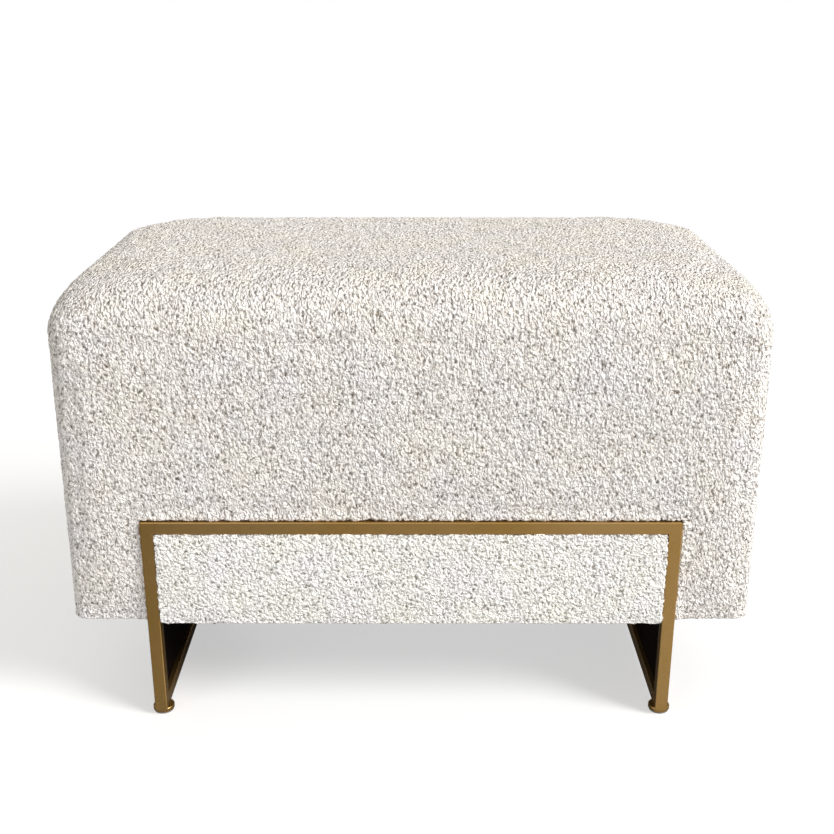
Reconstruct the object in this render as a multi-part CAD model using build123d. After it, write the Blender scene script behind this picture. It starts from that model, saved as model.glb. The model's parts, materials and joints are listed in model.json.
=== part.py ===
from build123d import *
import math
import os

# A storage ottoman: an upholstered box with a hinged, cushioned lid, carried by two gold tube
# frames that are joined along the floor by runners. Millimetres, +Z up, front towards -Y,
# origin on the floor under the middle of the object.

# Overall sizes
body_width = 696.0
body_depth = 370.0
overall_height = 467.0
body_bottom = 113.0
lid_thickness = 62.0
lid_gap = 1.0
lid_open_angle = 85.0

# Upholstery
corner_radius = 24.0
edge_radius = 50.0
seat_corner_radius = 90.0
crown_rise = 4.0
crown_run = 130.0
seam_pull = 1.5
seam_rise = 5.0
cover_t = 2.5
wadding_t = 4.5
soft_gap = 0.3
bottom_hem = 32.0

# Wooden box
wall_t = 12.0
bottom_t = 9.0
lid_board_t = 12.0
lining_t = 1.0
lining_gap = 0.2
lining_drop = 5.0
floor_lining_t = 3.0
dust_cover_t = 0.8

# Gold frame
frame_width = 538.0
bar_top = 223.0
tube = 13.0
tube_wall = 1.5
tube_round = 1.2
weld_round = 2.5
notch_gap = 1.5
infill_t = 2.0

# Feet
foot_radius = 11.0
foot_disc_t = 5.0
foot_round = 1.2
foot_felt_t = 1.5
foot_felt_inset = 1.0
foot_setback = 13.0
foot_stem_radius = 3.0
stem_play = 0.05
stem_end = 1.0
nut_t = 4.0
nut_clear = 0.4

# Inset panels inside the frames
inset_board_t = 4.0
inset_hang = 3.0
inset_crown = 1.0
inset_round = 4.0
inset_gap = 0.3

# Frame bolts
bolt_radius = 2.5
bolt_head_radius = 4.75
bolt_head_t = 3.0
bolt_reach = 7.0
bolt_play = 0.1
bolt_edge = 18.0

# Hinges
hinge_spacing = 400.0
hinge_length = 60.0
hinge_out = 1.0
hinge_pin_radius = 1.5
hinge_play = 0.05
hinge_relief = 0.6
knuckle_count = 5
knuckle_gap = 0.3
pin_head_radius = 2.4
pin_head_t = 1.0
screw_radius = 1.5
screw_head_radius = 2.8
screw_length = 10.0
screw_pitch = 20.0
screw_play = 0.05

# Lid stays
stay_drop = 14.0
stay_rest_angle = 20.0
stay_floor_gap = 40.0
stay_step = 0.5
stay_plate_t = 2.0
stay_arm_t = 2.0
stay_arm_width = 14.0
stay_gap = 0.5
stay_stud_radius = 2.5
stay_slot_play = 0.3
stay_head_radius = 4.5
stay_head_t = 1.5
stay_tail = 9.0
stay_plate_width = 28.0
stay_plate_height = 22.0
stay_plate_round = 3.0
stay_tab_margin = 1.0
bracket_width = 40.0
bracket_reach = 21.0
screw_margin = 1.5

# Bumpers
bumper_radius = 5.0
bumper_play = 0.1
bumper_inset = 60.0

# How far a cut runs past the face that it opens
over = 1.0

# Values worked out from the sizes above
pad_t = cover_t + wadding_t
half_w = body_width / 2
half_d = body_depth / 2
lid_split = overall_height - lid_thickness
body_top = lid_split - lid_gap / 2
lid_bottom = lid_split + lid_gap / 2
wood_x = half_w - pad_t
wood_y = half_d - pad_t
wood_radius = corner_radius - pad_t
inner_x = wood_x - wall_t
inner_y = wood_y - wall_t
post_x = half_w - corner_radius
post_y = half_d - corner_radius
panel_low = body_bottom + cover_t
wall_low = panel_low + bottom_t
wall_top = body_top - cover_t
board_low = lid_bottom + cover_t
board_top = board_low + lid_board_t
floor_top = wall_low + floor_lining_t
frame_front = wood_y + tube
leg_x = frame_width / 2 - tube / 2
foot_top = foot_felt_t + foot_disc_t
runner_top = foot_top + tube
nut_radius = tube / 2 - tube_wall - nut_clear
rail_top = body_bottom
hinge_y = half_d + hinge_out
hinge_z = lid_split
knuckle_radius = lid_gap / 2 + cover_t
leaf_t = knuckle_radius - hinge_pin_radius
leaf_y = inner_y
hinge_xs = (-hinge_spacing / 2, hinge_spacing / 2)
screw_y = (wood_y + inner_y) / 2
MIN = (Align.MIN, Align.MIN, Align.MIN)


def block(low, high):
    """An upright box between two opposite corners."""
    size = [b - a for a, b in zip(low, high)]
    return Pos(*low) * Box(*size, align=MIN)


def slab(half_x, half_y, radius, low, high):
    """A plate with rounded plan corners between two heights."""
    return extrude(Pos(0, 0, low) * RectangleRounded(2 * half_x, 2 * half_y, radius), high - low)


def rod(start, direction, radius, length):
    """A round bar from a point along a direction."""
    return extrude(Plane(origin=start, z_dir=direction) * Circle(radius), length)


def cone(start, direction, radius, end_radius, length):
    """A tapered round bar from a point along a direction."""
    plane = Plane(origin=start, z_dir=direction)
    return plane * Cone(radius, end_radius, length, align=(Align.CENTER, Align.CENTER, Align.MIN))


def square_tube(start, direction, length):
    """A hollow square tube whose centre line runs from a point along a direction."""
    section = RectangleRounded(tube, tube, tube_round) - Rectangle(tube - 2 * tube_wall, tube - 2 * tube_wall)
    up = (0, 0, 1) if direction[2] == 0 else (1, 0, 0)
    return extrude(Plane(origin=start, x_dir=up, z_dir=direction) * section, length)


def mitred(part, corner, normal):
    """The part cut off at a slanted plane through a corner; the side the normal points to stays."""
    return split(part, bisect_by=Plane(origin=corner, z_dir=normal), keep=Keep.TOP)


def turned(part):
    """The part turned half round the upright axis, from the front to the back."""
    return Rot(0, 0, 180) * part


def mirrored(part):
    """The part mirrored from the left to the right."""
    return mirror(part, about=Plane.YZ)


def both_sides(part):
    """A part and its left-right mirror copy, as two separate solids."""
    return [part, mirrored(part)]


def group(parts):
    """Separate solids kept together in one node."""
    return Compound(children=[solid for part in parts for solid in part.solids()])


os.makedirs("parts", exist_ok=True)


def write(name, part):
    """Writes one node and prints its volume."""
    solids = part.solids()
    shape = solids[0] if len(solids) == 1 else Compound(children=list(solids))
    export_step(shape, f"parts/{name}.step")
    print(name, len(solids), round(sum(solid.volume for solid in solids)))


# Gold frames: the front one, with the rear one as its half-turned copy
bar_y = -(frame_front - tube / 2)
bar_z = bar_top - tube / 2
left_corner = (-frame_width / 2, bar_y, bar_top)
right_corner = (frame_width / 2, bar_y, bar_top)
foot_corner = (0, -frame_front, foot_top)
bolt_zs = (wall_low + bolt_edge, bar_top - tube - bolt_edge)

top_bar = square_tube((-frame_width / 2, bar_y, bar_z), (1, 0, 0), frame_width)
top_bar = mitred(mitred(top_bar, left_corner, (1, 0, 1)), right_corner, (-1, 0, 1))

left_leg = square_tube((-leg_x, bar_y, foot_top), (0, 0, 1), bar_top - foot_top)
left_leg = mitred(left_leg, left_corner, (-1, 0, -1))
left_leg = mitred(left_leg, foot_corner, (0, -1, 1))

# The welds at the two upper corners are ground round
weld_x = -frame_width / 2 + weld_round
weld_z = bar_top - weld_round
weld_cut = block(
    (-frame_width / 2 - over, -frame_front - over, weld_z),
    (weld_x, -wood_y + over, bar_top + over),
)
weld_cut -= rod((weld_x, -wood_y + over, weld_z), (0, -1, 0), weld_round, tube + 2 * over)
top_bar = top_bar - weld_cut - mirrored(weld_cut)
left_leg -= weld_cut
for bolt_z in bolt_zs:
    start = (-leg_x, -wood_y + over, bolt_z)
    left_leg -= rod(start, (0, -1, 0), bolt_radius + bolt_play, tube_wall + 2 * over)
right_leg = mirrored(left_leg)

runner_z = foot_top + tube / 2
foot_y = frame_front - foot_setback
left_runner = square_tube((-leg_x, -frame_front, runner_z), (0, 1, 0), 2 * frame_front)
left_runner = mitred(left_runner, foot_corner, (0, 1, -1))
left_runner = mitred(left_runner, (0, frame_front, foot_top), (0, -1, -1))
for side_y in (-foot_y, foot_y):
    start = (-leg_x, side_y, foot_top - over)
    left_runner -= rod(start, (0, 0, 1), foot_stem_radius + stem_play, tube_wall + 2 * over)

rail_length = 2 * (frame_front - tube)
left_rail = square_tube((-leg_x, -rail_length / 2, rail_top - tube / 2), (0, 1, 0), rail_length)
left_infill = block(
    (-leg_x - infill_t / 2, -rail_length / 2, runner_top),
    (-leg_x + infill_t / 2, rail_length / 2, rail_top - tube),
)

write("front_top_bar", top_bar)
write("rear_top_bar", turned(top_bar))
write("front_left_leg", left_leg)
write("front_right_leg", right_leg)
write("rear_left_leg", turned(right_leg))
write("rear_right_leg", turned(left_leg))
write("left_runner", left_runner)
write("right_runner", mirrored(left_runner))
write("left_support_rail", left_rail)
write("right_support_rail", mirrored(left_rail))
write("left_infill_panel", left_infill)
write("right_infill_panel", mirrored(left_infill))


# Feet: a gold disc on a threaded stem, a felt under it and a nut inside the runner
def foot(x, y):
    """A disc with a rounded rim and a stem that screws up into the runner."""
    disc = rod((x, y, foot_felt_t), (0, 0, 1), foot_radius, foot_disc_t)
    disc = fillet(disc.edges().filter_by(GeomType.CIRCLE), foot_round)
    stem_length = foot_disc_t / 2 + tube_wall + nut_t + stem_end
    return disc + rod((x, y, foot_top - foot_disc_t / 2), (0, 0, 1), foot_stem_radius, stem_length)


foot_places = {
    "front_left": (-leg_x, -foot_y),
    "front_right": (leg_x, -foot_y),
    "rear_left": (-leg_x, foot_y),
    "rear_right": (leg_x, foot_y),
}
foot_felts = []
foot_nuts = []
for place, (x, y) in foot_places.items():
    write(f"{place}_foot", foot(x, y))
    foot_felts.append(rod((x, y, 0), (0, 0, 1), foot_radius - foot_felt_inset, foot_felt_t))
    nut = rod((x, y, foot_top + tube_wall), (0, 0, 1), nut_radius, nut_t)
    foot_nuts.append(nut - rod((x, y, foot_top), (0, 0, 1), foot_stem_radius + stem_play, tube))
write("foot_felts", group(foot_felts))
write("foot_nuts", group(foot_nuts))


# Wooden box: bottom panel, four walls and four rounded corner posts
def screw_hole(x, y, z, direction):
    """The pilot hole of a wood screw."""
    return rod((x, y, z), direction, screw_radius + screw_play, screw_length + screw_play)


hinge_screw_xs = [x + step * screw_pitch for x in hinge_xs for step in (-1, 0, 1)]
bottom_panel = slab(wood_x, wood_y, wood_radius, panel_low, wall_low)
front_wall = block((-post_x, -wood_y, wall_low), (post_x, -inner_y, wall_top))
for side_x in (-leg_x, leg_x):
    for bolt_z in bolt_zs:
        start = (side_x, -inner_y + over, bolt_z)
        front_wall -= rod(start, (0, -1, 0), bolt_radius + bolt_play, wall_t + 2 * over)
        recess_depth = bolt_head_t + bolt_play
        front_wall -= rod(start, (0, -1, 0), bolt_head_radius + bolt_play, recess_depth + over)
rear_wall = turned(front_wall)
for x in hinge_screw_xs:
    rear_wall -= screw_hole(x, screw_y, wall_top, (0, 0, -1))
left_wall = block((-wood_x, -post_y, wall_low), (-inner_x, post_y, wall_top))
post = rod((post_x, post_y, wall_low), (0, 0, 1), wood_radius, wall_top - wall_low)
post &= block((post_x, post_y, wall_low), (wood_x, wood_y, wall_top))
left_posts = [mirrored(post), turned(post)]


# Frame bolts: screwed from inside the box through its wall into a nut in each leg
def frame_bolt(x, z):
    """A pan-head bolt set into the wall, pointing to the front."""
    head = rod((x, -inner_y - bolt_play, z), (0, -1, 0), bolt_head_radius, bolt_head_t)
    shank_length = wall_t - bolt_head_t + bolt_reach
    return head + rod((x, -inner_y - bolt_head_t, z), (0, -1, 0), bolt_radius, shank_length)


def frame_nut(x, z):
    """A welded ring nut on the inside of the leg's back wall."""
    start = (x, -wood_y - tube_wall, z)
    ring = rod(start, (0, -1, 0), nut_radius, nut_t)
    return ring - rod((x, -wood_y, z), (0, -1, 0), bolt_radius + bolt_play, tube)


front_places = [(x, z) for x in (-leg_x, leg_x) for z in bolt_zs]
front_bolts = [frame_bolt(x, z) for x, z in front_places]
front_nuts = [frame_nut(x, z) for x, z in front_places]
write("frame_bolts", group(front_bolts + [turned(bolt) for bolt in front_bolts]))
write("frame_nuts", group(front_nuts + [turned(nut) for nut in front_nuts]))


# Inset panels: an upholstered board inside each gold frame
inset_x = frame_width / 2 - tube - inset_gap
inset_low = body_bottom - inset_hang
inset_high = bar_top - tube - inset_gap
inset_mid_z = (inset_low + inset_high) / 2
inset_h = inset_high - inset_low


def inset_section(inset, y):
    """The panel's outline, drawn in by an inset, on an upright plane at a depth."""
    plane = Plane(origin=(0, y, inset_mid_z), x_dir=(1, 0, 0), z_dir=(0, -1, 0))
    outline = RectangleRounded(2 * (inset_x - inset), inset_h - 2 * inset, inset_round)
    return plane * outline


pad_back = -(wood_y + inset_board_t)
pad_edge = -(frame_front - inset_round)
pad_profile = [(0, pad_back), (0, pad_edge)]
for angle in (30, 60, 90):
    turn = math.radians(angle)
    depth = pad_edge - inset_round * math.sin(turn)
    pad_profile.append((inset_round * (1 - math.cos(turn)), depth))
pad_profile.append((inset_h / 4, -frame_front - inset_crown))
inset_pad = loft([inset_section(inset, y) for inset, y in pad_profile], ruled=True)
inset_board = block(
    (-inset_x + inset_round, pad_back, inset_low + inset_round),
    (inset_x - inset_round, -wood_y, inset_high - inset_round),
)
write("front_inset_board", inset_board)
write("front_inset_pad", inset_pad)
write("rear_inset_board", turned(inset_board))
write("rear_inset_pad", turned(inset_pad))


# Body cover and wadding: a ring round the box, notched for the frames and the hinges
def frame_notch(side_gap):
    """The space that the two frames and inset panels take out of the upholstery."""
    front = block(
        (-frame_width / 2 - side_gap, -half_d - tube, 0),
        (frame_width / 2 + side_gap, -wood_y, bar_top + side_gap),
    )
    return [front, turned(front)]


def hinge_relief_cuts(side):
    """The space that each hinge takes out of the box (-1) or the lid (+1) beside the lid line."""
    leaf_z = hinge_z + side * knuckle_radius
    barrel_z = hinge_z + side * (knuckle_radius + hinge_relief)
    reach = hinge_length / 2 + knuckle_gap + pin_head_t
    cuts = []
    for x in hinge_xs:
        for first_y, far_z in ((leaf_y - over, leaf_z), (wood_y, barrel_z)):
            low = (x - reach, first_y, min(hinge_z, far_z))
            cuts.append(block(low, (x + reach, half_d + tube, max(hinge_z, far_z))))
    return cuts


def cross_opening(shrink, low, high):
    """The inside of the box between its walls and corner posts, drawn in by a distance."""
    wide = block((-inner_x + shrink, -post_y + shrink, low), (inner_x - shrink, post_y - shrink, high))
    deep = block((-post_x + shrink, -inner_y + shrink, low), (post_x - shrink, inner_y - shrink, high))
    return wide + deep


def without(part, cuts):
    """The part with each of the cuts taken away."""
    for cut in cuts:
        part -= cut
    return part


cover_hollow = slab(half_w - cover_t, half_d - cover_t, corner_radius - cover_t, panel_low, wall_top)
cover_hollow = without(cover_hollow, frame_notch(notch_gap + cover_t))
body_cover = slab(half_w, half_d, corner_radius, body_bottom, body_top)
body_cover = without(body_cover, frame_notch(notch_gap) + [cover_hollow])
hem_x = half_w - bottom_hem
hem_y = half_d - bottom_hem
body_cover -= slab(hem_x, hem_y, wood_radius, body_bottom - over, panel_low + over)
body_cover -= cross_opening(0, wall_top - over, body_top + over)
body_cover = without(body_cover, hinge_relief_cuts(-1))

wadding_in = cover_t + soft_gap
body_wadding = slab(
    half_w - wadding_in,
    half_d - wadding_in,
    corner_radius - wadding_in,
    panel_low + soft_gap,
    wall_top - soft_gap,
)
wood_space = wood_radius + soft_gap
body_wadding -= slab(wood_x + soft_gap, wood_y + soft_gap, wood_space, body_bottom, body_top)
body_wadding = without(body_wadding, frame_notch(notch_gap + wadding_in) + hinge_relief_cuts(-1))
write("body_cover", body_cover)
write("body_wadding", body_wadding)

# Linings, dust cover and the felt strips between the rails and the box
lining_low = floor_top
lining_high = wall_top - lining_drop
wall_lining = cross_opening(lining_gap, lining_low, lining_high)
wall_lining -= cross_opening(lining_gap + lining_t, lining_low - over, lining_high + over)
floor_lining = cross_opening(lining_gap, wall_low, floor_top)
dust_half_x = half_w - bottom_hem - soft_gap
dust_half_y = half_d - bottom_hem - soft_gap
dust_cover = slab(dust_half_x, dust_half_y, wood_radius, panel_low - dust_cover_t, panel_low)
rail_felt = block(
    (-leg_x - tube / 2 + tube_round, -dust_half_y, rail_top),
    (-leg_x + tube / 2 - tube_round, dust_half_y, panel_low - dust_cover_t),
)
write("floor_lining", floor_lining)
write("dust_cover", dust_cover)
write("rail_felts", group(both_sides(rail_felt)))


# Lid: board, foam and a cover with a rounded top edge, a crown and a seam line drawn in below
def lid_outline(inset, draw_in, z):
    """One outline of the lid at a height; its corners get rounder as it is drawn in."""
    half_x = half_w - inset - draw_in
    half_y = half_d - inset - draw_in
    share = min(draw_in / edge_radius, 1)
    radius = corner_radius - inset + share * (seat_corner_radius - corner_radius)
    return Pos(0, 0, z) * RectangleRounded(2 * half_x, 2 * half_y, min(radius, half_y - over))


def lid_form(inset):
    """The lid's outer form drawn in by an inset: a stack of rounded outlines, ruled between.

    Above the drawn-in seam the sides stand straight, turn over a quarter ellipse and then rise
    slowly to the crown.
    """
    low = lid_bottom + inset
    edge = edge_radius - inset
    shoulder = low + seam_rise
    rise = overall_height - inset - crown_rise - shoulder
    outlines = [lid_outline(inset, seam_pull, low), lid_outline(inset, 0, shoulder)]
    turns = [math.radians(angle) for angle in range(15, 91, 15)]
    profile = [(edge * (1 - math.cos(turn)), rise * math.sin(turn)) for turn in turns]
    profile += [(edge + (crown_run - edge) * step / 3, rise) for step in (1, 2, 3)]
    for draw_in, height in profile:
        lift = crown_rise * math.sin(math.pi / 2 * draw_in / crown_run)
        outlines.append(lid_outline(inset, draw_in, shoulder + height + lift))
    return loft(outlines, ruled=True)


lid_board = slab(wood_x, wood_y, wood_radius, board_low, board_top)
for x in hinge_screw_xs:
    lid_board -= screw_hole(x, screw_y, board_low, (0, 0, 1))
lid_cover = lid_form(0) - lid_form(cover_t)
lid_cover -= slab(inner_x, inner_y, wood_radius, lid_bottom - over, board_low + over)
lid_cover = without(lid_cover, hinge_relief_cuts(1))
lid_foam = lid_form(cover_t + soft_gap)
lid_foam -= slab(wood_x + soft_gap, wood_y + soft_gap, wood_space, lid_split, board_top)
lid_foam = without(lid_foam, hinge_relief_cuts(1))
lid_lining = slab(inner_x - soft_gap, inner_y - soft_gap, wood_radius, board_low - lining_t, board_low)
write("lid_cover", lid_cover)
write("lid_foam", lid_foam)


# Butt hinges: leaves on the box's rear edge and under the lid board, knuckles round a pin
def knuckle_span(x, index):
    """The first and last x of one knuckle of the hinge centred at x."""
    pitch = hinge_length / knuckle_count
    first = x - hinge_length / 2 + index * pitch
    return first + knuckle_gap / 2, first + pitch - knuckle_gap / 2


def hinge_leaf(x, side, own):
    """One leaf of a hinge: a plate below (-1) or above (+1) the axis with its own knuckles."""
    z_low = min(side * hinge_pin_radius, side * knuckle_radius)
    low = (x - hinge_length / 2, leaf_y, hinge_z + z_low)
    leaf = block(low, (x + hinge_length / 2, hinge_y, hinge_z + z_low + leaf_t))
    for index in range(knuckle_count):
        first, last = knuckle_span(x, index)
        if index in own:
            leaf += rod((first, hinge_y, hinge_z), (1, 0, 0), knuckle_radius, last - first)
        else:
            start = (first - knuckle_gap, hinge_y, hinge_z)
            clear_length = last - first + 2 * knuckle_gap
            leaf -= rod(start, (1, 0, 0), knuckle_radius + hinge_relief, clear_length)
    bore_start = (x - hinge_length, hinge_y, hinge_z)
    leaf -= rod(bore_start, (1, 0, 0), hinge_pin_radius + hinge_play, 2 * hinge_length)
    outer_z = hinge_z + side * hinge_pin_radius
    for step in (-1, 0, 1):
        place = (x + step * screw_pitch, screw_y, outer_z)
        leaf -= cone(place, (0, 0, side), screw_head_radius + screw_play, screw_radius + screw_play, leaf_t)
    return leaf


def hinge_pin(x):
    """A hinge pin with a small flat head at each end."""
    start = (x - hinge_length / 2 - knuckle_gap, hinge_y, hinge_z)
    length = hinge_length + 2 * knuckle_gap
    pin = rod(start, (1, 0, 0), hinge_pin_radius, length)
    end = (start[0] + length, hinge_y, hinge_z)
    pin += rod(start, (-1, 0, 0), pin_head_radius, pin_head_t)
    return pin + rod(end, (1, 0, 0), pin_head_radius, pin_head_t)


def wood_screw(x, y, z, direction):
    """A countersunk screw whose head is flush at z and whose shank runs along the direction."""
    head = cone((x, y, z), (0, 0, direction), screw_head_radius, screw_radius, leaf_t)
    return head + rod((x, y, z + direction * leaf_t), (0, 0, direction), screw_radius, screw_length)


body_knuckles = range(0, knuckle_count, 2)
lid_knuckles = range(1, knuckle_count, 2)
for name, x in zip(("left", "right"), hinge_xs):
    write(f"{name}_hinge_body_leaf", hinge_leaf(x, -1, body_knuckles))
    write(f"{name}_hinge_lid_leaf", hinge_leaf(x, 1, lid_knuckles))
    write(f"{name}_hinge_pin", hinge_pin(x))
body_screws = [wood_screw(x, screw_y, hinge_z - hinge_pin_radius, -1) for x in hinge_screw_xs]
lid_screws = [wood_screw(x, screw_y, hinge_z + hinge_pin_radius, 1) for x in hinge_screw_xs]
write("hinge_body_screws", group(body_screws))
write("hinge_lid_screws", group(lid_screws))

# Lid stays: a slotted arm hangs from the lid and slides on a stud on the side wall. The pivot on
# the lid and the stud are equally far from the hinge, so the arm turns half as far as the lid.
open_half = math.radians((stay_rest_angle + lid_open_angle) / 2)
rest_half = math.radians(stay_rest_angle / 2)
stay_room = hinge_z - floor_top - stay_floor_gap - stay_drop - stay_tail - stay_arm_width / 2


def arm_back(radius):
    """How far back the arm's free end reaches at rest, with the pivot that far from the hinge."""
    lean = math.asin(stay_drop / radius) + rest_half
    reach = 2 * radius * math.sin(open_half) + stay_tail
    return hinge_y - math.sqrt(radius**2 - stay_drop**2) + reach * math.sin(lean) + stay_arm_width / 2


# As long as the room above the floor allows, and in a low box longer, to clear the rear posts
post_clear = post_y - lining_gap - lining_t - stay_gap
stay_radius = stay_room / (2 * math.sin(open_half))
while arm_back(stay_radius) > post_clear:
    stay_radius += stay_step
pivot_angle = math.asin(stay_drop / stay_radius)
stud_angle = pivot_angle + 2 * rest_half
pivot_y = hinge_y - stay_radius * math.cos(pivot_angle)
pivot_z = hinge_z - stay_drop
stud_y = hinge_y - stay_radius * math.cos(stud_angle)
stud_z = hinge_z - stay_radius * math.sin(stud_angle)
rest_reach = 2 * stay_radius * math.sin(rest_half)
open_reach = 2 * stay_radius * math.sin(open_half)
lining_x = inner_x - lining_gap - lining_t
plate_x = lining_x - stay_plate_t
arm_x = plate_x - stay_gap - stay_arm_t
tab_x = arm_x - stay_gap - stay_plate_t
bracket_z = board_low - lining_t
stay_screw_step = stay_plate_width / 2 - screw_head_radius - screw_margin
lid_screw_x = tab_x - bracket_reach / 2
lid_screw_step = bracket_width / 2 - screw_head_radius - screw_margin

# The right-hand stay; the left one is its mirror copy
arm_plane = Plane(
    origin=(arm_x, pivot_y, pivot_z),
    x_dir=(0, stud_y - pivot_y, stud_z - pivot_z),
    z_dir=(1, 0, 0),
)
arm_length = open_reach + stay_tail
slot_length = open_reach - rest_reach
arm_outline = Pos(arm_length / 2, 0) * SlotCenterToCenter(arm_length, stay_arm_width)
arm_outline -= Pos(rest_reach + slot_length / 2, 0) * SlotCenterToCenter(
    slot_length, 2 * (stay_stud_radius + stay_slot_play)
)
arm_outline -= Circle(stay_stud_radius + stem_play)
stay_arm = extrude(arm_plane * arm_outline, stay_arm_t)

plate_plane = Plane(origin=(plate_x, stud_y, stud_z), x_dir=(0, 1, 0), z_dir=(1, 0, 0))
plate_outline = RectangleRounded(stay_plate_width, stay_plate_height, stay_plate_round)
stay_plate = extrude(plate_plane * plate_outline, stay_plate_t)
stud_length = stay_gap * 2 + stay_arm_t + stay_head_t
stay_plate += rod((plate_x, stud_y, stud_z), (-1, 0, 0), stay_stud_radius, stud_length)
stay_plate += rod((arm_x - stay_gap, stud_y, stud_z), (-1, 0, 0), stay_head_radius, stay_head_t)
hole_radius = screw_radius + screw_play
sink_radius = screw_head_radius + screw_play
for step in (-1, 1):
    place = (plate_x, stud_y + step * stay_screw_step, stud_z)
    stay_plate -= cone(place, (1, 0, 0), sink_radius, hole_radius, stay_plate_t)

lid_bracket = block(
    (tab_x - bracket_reach, pivot_y - bracket_width / 2, bracket_z - stay_plate_t),
    (tab_x + stay_plate_t, pivot_y + bracket_width / 2, bracket_z),
)
tab_half = stay_arm_width / 2 + stay_tab_margin
lid_bracket += block(
    (tab_x, pivot_y - tab_half, pivot_z),
    (tab_x + stay_plate_t, pivot_y + tab_half, bracket_z),
)
lid_bracket += rod((tab_x, pivot_y, pivot_z), (1, 0, 0), tab_half, stay_plate_t)
rivet_length = stay_plate_t + 2 * stay_gap + stay_arm_t
lid_bracket += rod((tab_x, pivot_y, pivot_z), (1, 0, 0), stay_stud_radius, rivet_length)
rivet_x = arm_x + stay_arm_t + stay_gap
lid_bracket += rod((rivet_x, pivot_y, pivot_z), (1, 0, 0), stay_head_radius, stay_head_t)
for step in (-1, 1):
    place = (lid_screw_x, pivot_y + step * lid_screw_step, bracket_z - stay_plate_t)
    lid_bracket -= cone(place, (0, 0, 1), sink_radius, hole_radius, stay_plate_t)

write("right_stay_arm", stay_arm)
write("left_stay_arm", mirrored(stay_arm))
write("right_stay_plate", stay_plate)
write("left_stay_plate", mirrored(stay_plate))
write("right_stay_lid_bracket", lid_bracket)
write("left_stay_lid_bracket", mirrored(lid_bracket))

# Stay screws, with their pilot holes in the side walls, linings and lid board
wall_screws = []
board_screws = []
wall_screw_holes = []
board_screw_holes = []
for step in (-1, 1):
    wall_place = (plate_x, stud_y + step * stay_screw_step, stud_z)
    head = cone(wall_place, (1, 0, 0), screw_head_radius, screw_radius, stay_plate_t)
    wall_screws.append(head + rod(wall_place, (1, 0, 0), screw_radius, screw_length))
    wall_screw_holes.append(rod(wall_place, (1, 0, 0), hole_radius, screw_length + screw_play))
    board_place = (lid_screw_x, pivot_y + step * lid_screw_step, bracket_z - stay_plate_t)
    head = cone(board_place, (0, 0, 1), screw_head_radius, screw_radius, stay_plate_t)
    board_screws.append(head + rod(board_place, (0, 0, 1), screw_radius, screw_length))
    board_screw_holes.append(rod(board_place, (0, 0, 1), hole_radius, screw_length + screw_play))
right_wall = without(mirrored(left_wall), wall_screw_holes)
for hole in wall_screw_holes:
    wall_lining = without(wall_lining, both_sides(hole))
for hole in board_screw_holes:
    lid_board = without(lid_board, both_sides(hole))
    lid_lining = without(lid_lining, both_sides(hole))
write("stay_wall_screws", group([half for screw in wall_screws for half in both_sides(screw)]))
write("stay_lid_screws", group([half for screw in board_screws for half in both_sides(screw)]))

write("bottom_panel", bottom_panel)
write("front_wall", front_wall)
write("rear_wall", rear_wall)
write("left_wall", mirrored(right_wall))
write("right_wall", right_wall)
write("corner_posts", group(left_posts + [mirrored(half) for half in left_posts]))
write("lid_board", lid_board)
write("wall_lining", wall_lining)
write("lid_lining", lid_lining)

# Bumpers: felt dots on the box's top edge that the closed lid rests on
bumper_places = [
    (post_x - bumper_inset, -(wood_y + inner_y) / 2),
    ((wood_x + inner_x) / 2, -post_y / 2),
]
bumpers = [
    rod((x, y, body_top), (0, 0, 1), bumper_radius, lid_gap - bumper_play) for x, y in bumper_places
]
write("bumpers", group([half for dot in bumpers for half in both_sides(dot)]))
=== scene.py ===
# %% [markdown]
# # A storage ottoman: bouclé cushion box in a gold tube frame
#
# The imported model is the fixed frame: every tube, hinge, stay and board is already there at its
# real size. This script gives those parts their finishes and replaces the soft parts, which are
# plain solids in the frame, with real upholstery: a nubbly bouclé lid and box, two bouclé insets,
# the linings and the dust cover. All lengths are in metres, so a size of 34 mm is written 34 * mm.

# %% Load the frame
import json
import math
from itertools import product

import bmesh
import bpy
import numpy as np
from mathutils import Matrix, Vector


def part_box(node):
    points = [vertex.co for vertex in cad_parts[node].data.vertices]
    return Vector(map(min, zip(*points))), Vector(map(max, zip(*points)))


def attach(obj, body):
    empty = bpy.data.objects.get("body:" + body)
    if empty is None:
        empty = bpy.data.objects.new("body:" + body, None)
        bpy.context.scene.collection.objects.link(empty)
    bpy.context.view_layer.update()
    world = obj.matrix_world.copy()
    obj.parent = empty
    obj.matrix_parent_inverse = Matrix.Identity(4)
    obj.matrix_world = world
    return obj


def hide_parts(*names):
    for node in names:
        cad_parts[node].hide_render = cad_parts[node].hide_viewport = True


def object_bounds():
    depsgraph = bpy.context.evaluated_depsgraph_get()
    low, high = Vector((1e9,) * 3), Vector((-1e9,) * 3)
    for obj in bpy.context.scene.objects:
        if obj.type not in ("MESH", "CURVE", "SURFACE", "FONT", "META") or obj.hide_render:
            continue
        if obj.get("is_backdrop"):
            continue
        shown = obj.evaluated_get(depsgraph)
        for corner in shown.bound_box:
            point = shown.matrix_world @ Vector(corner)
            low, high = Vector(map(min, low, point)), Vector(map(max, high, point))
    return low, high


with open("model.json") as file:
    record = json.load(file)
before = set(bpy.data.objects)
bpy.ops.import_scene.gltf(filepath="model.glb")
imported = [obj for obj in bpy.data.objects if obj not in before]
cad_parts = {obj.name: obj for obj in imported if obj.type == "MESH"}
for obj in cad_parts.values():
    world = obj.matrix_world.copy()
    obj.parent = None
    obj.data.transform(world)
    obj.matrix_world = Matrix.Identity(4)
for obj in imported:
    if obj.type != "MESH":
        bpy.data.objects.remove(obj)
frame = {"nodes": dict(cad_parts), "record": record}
cad_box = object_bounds()
mm = 0.001

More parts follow.
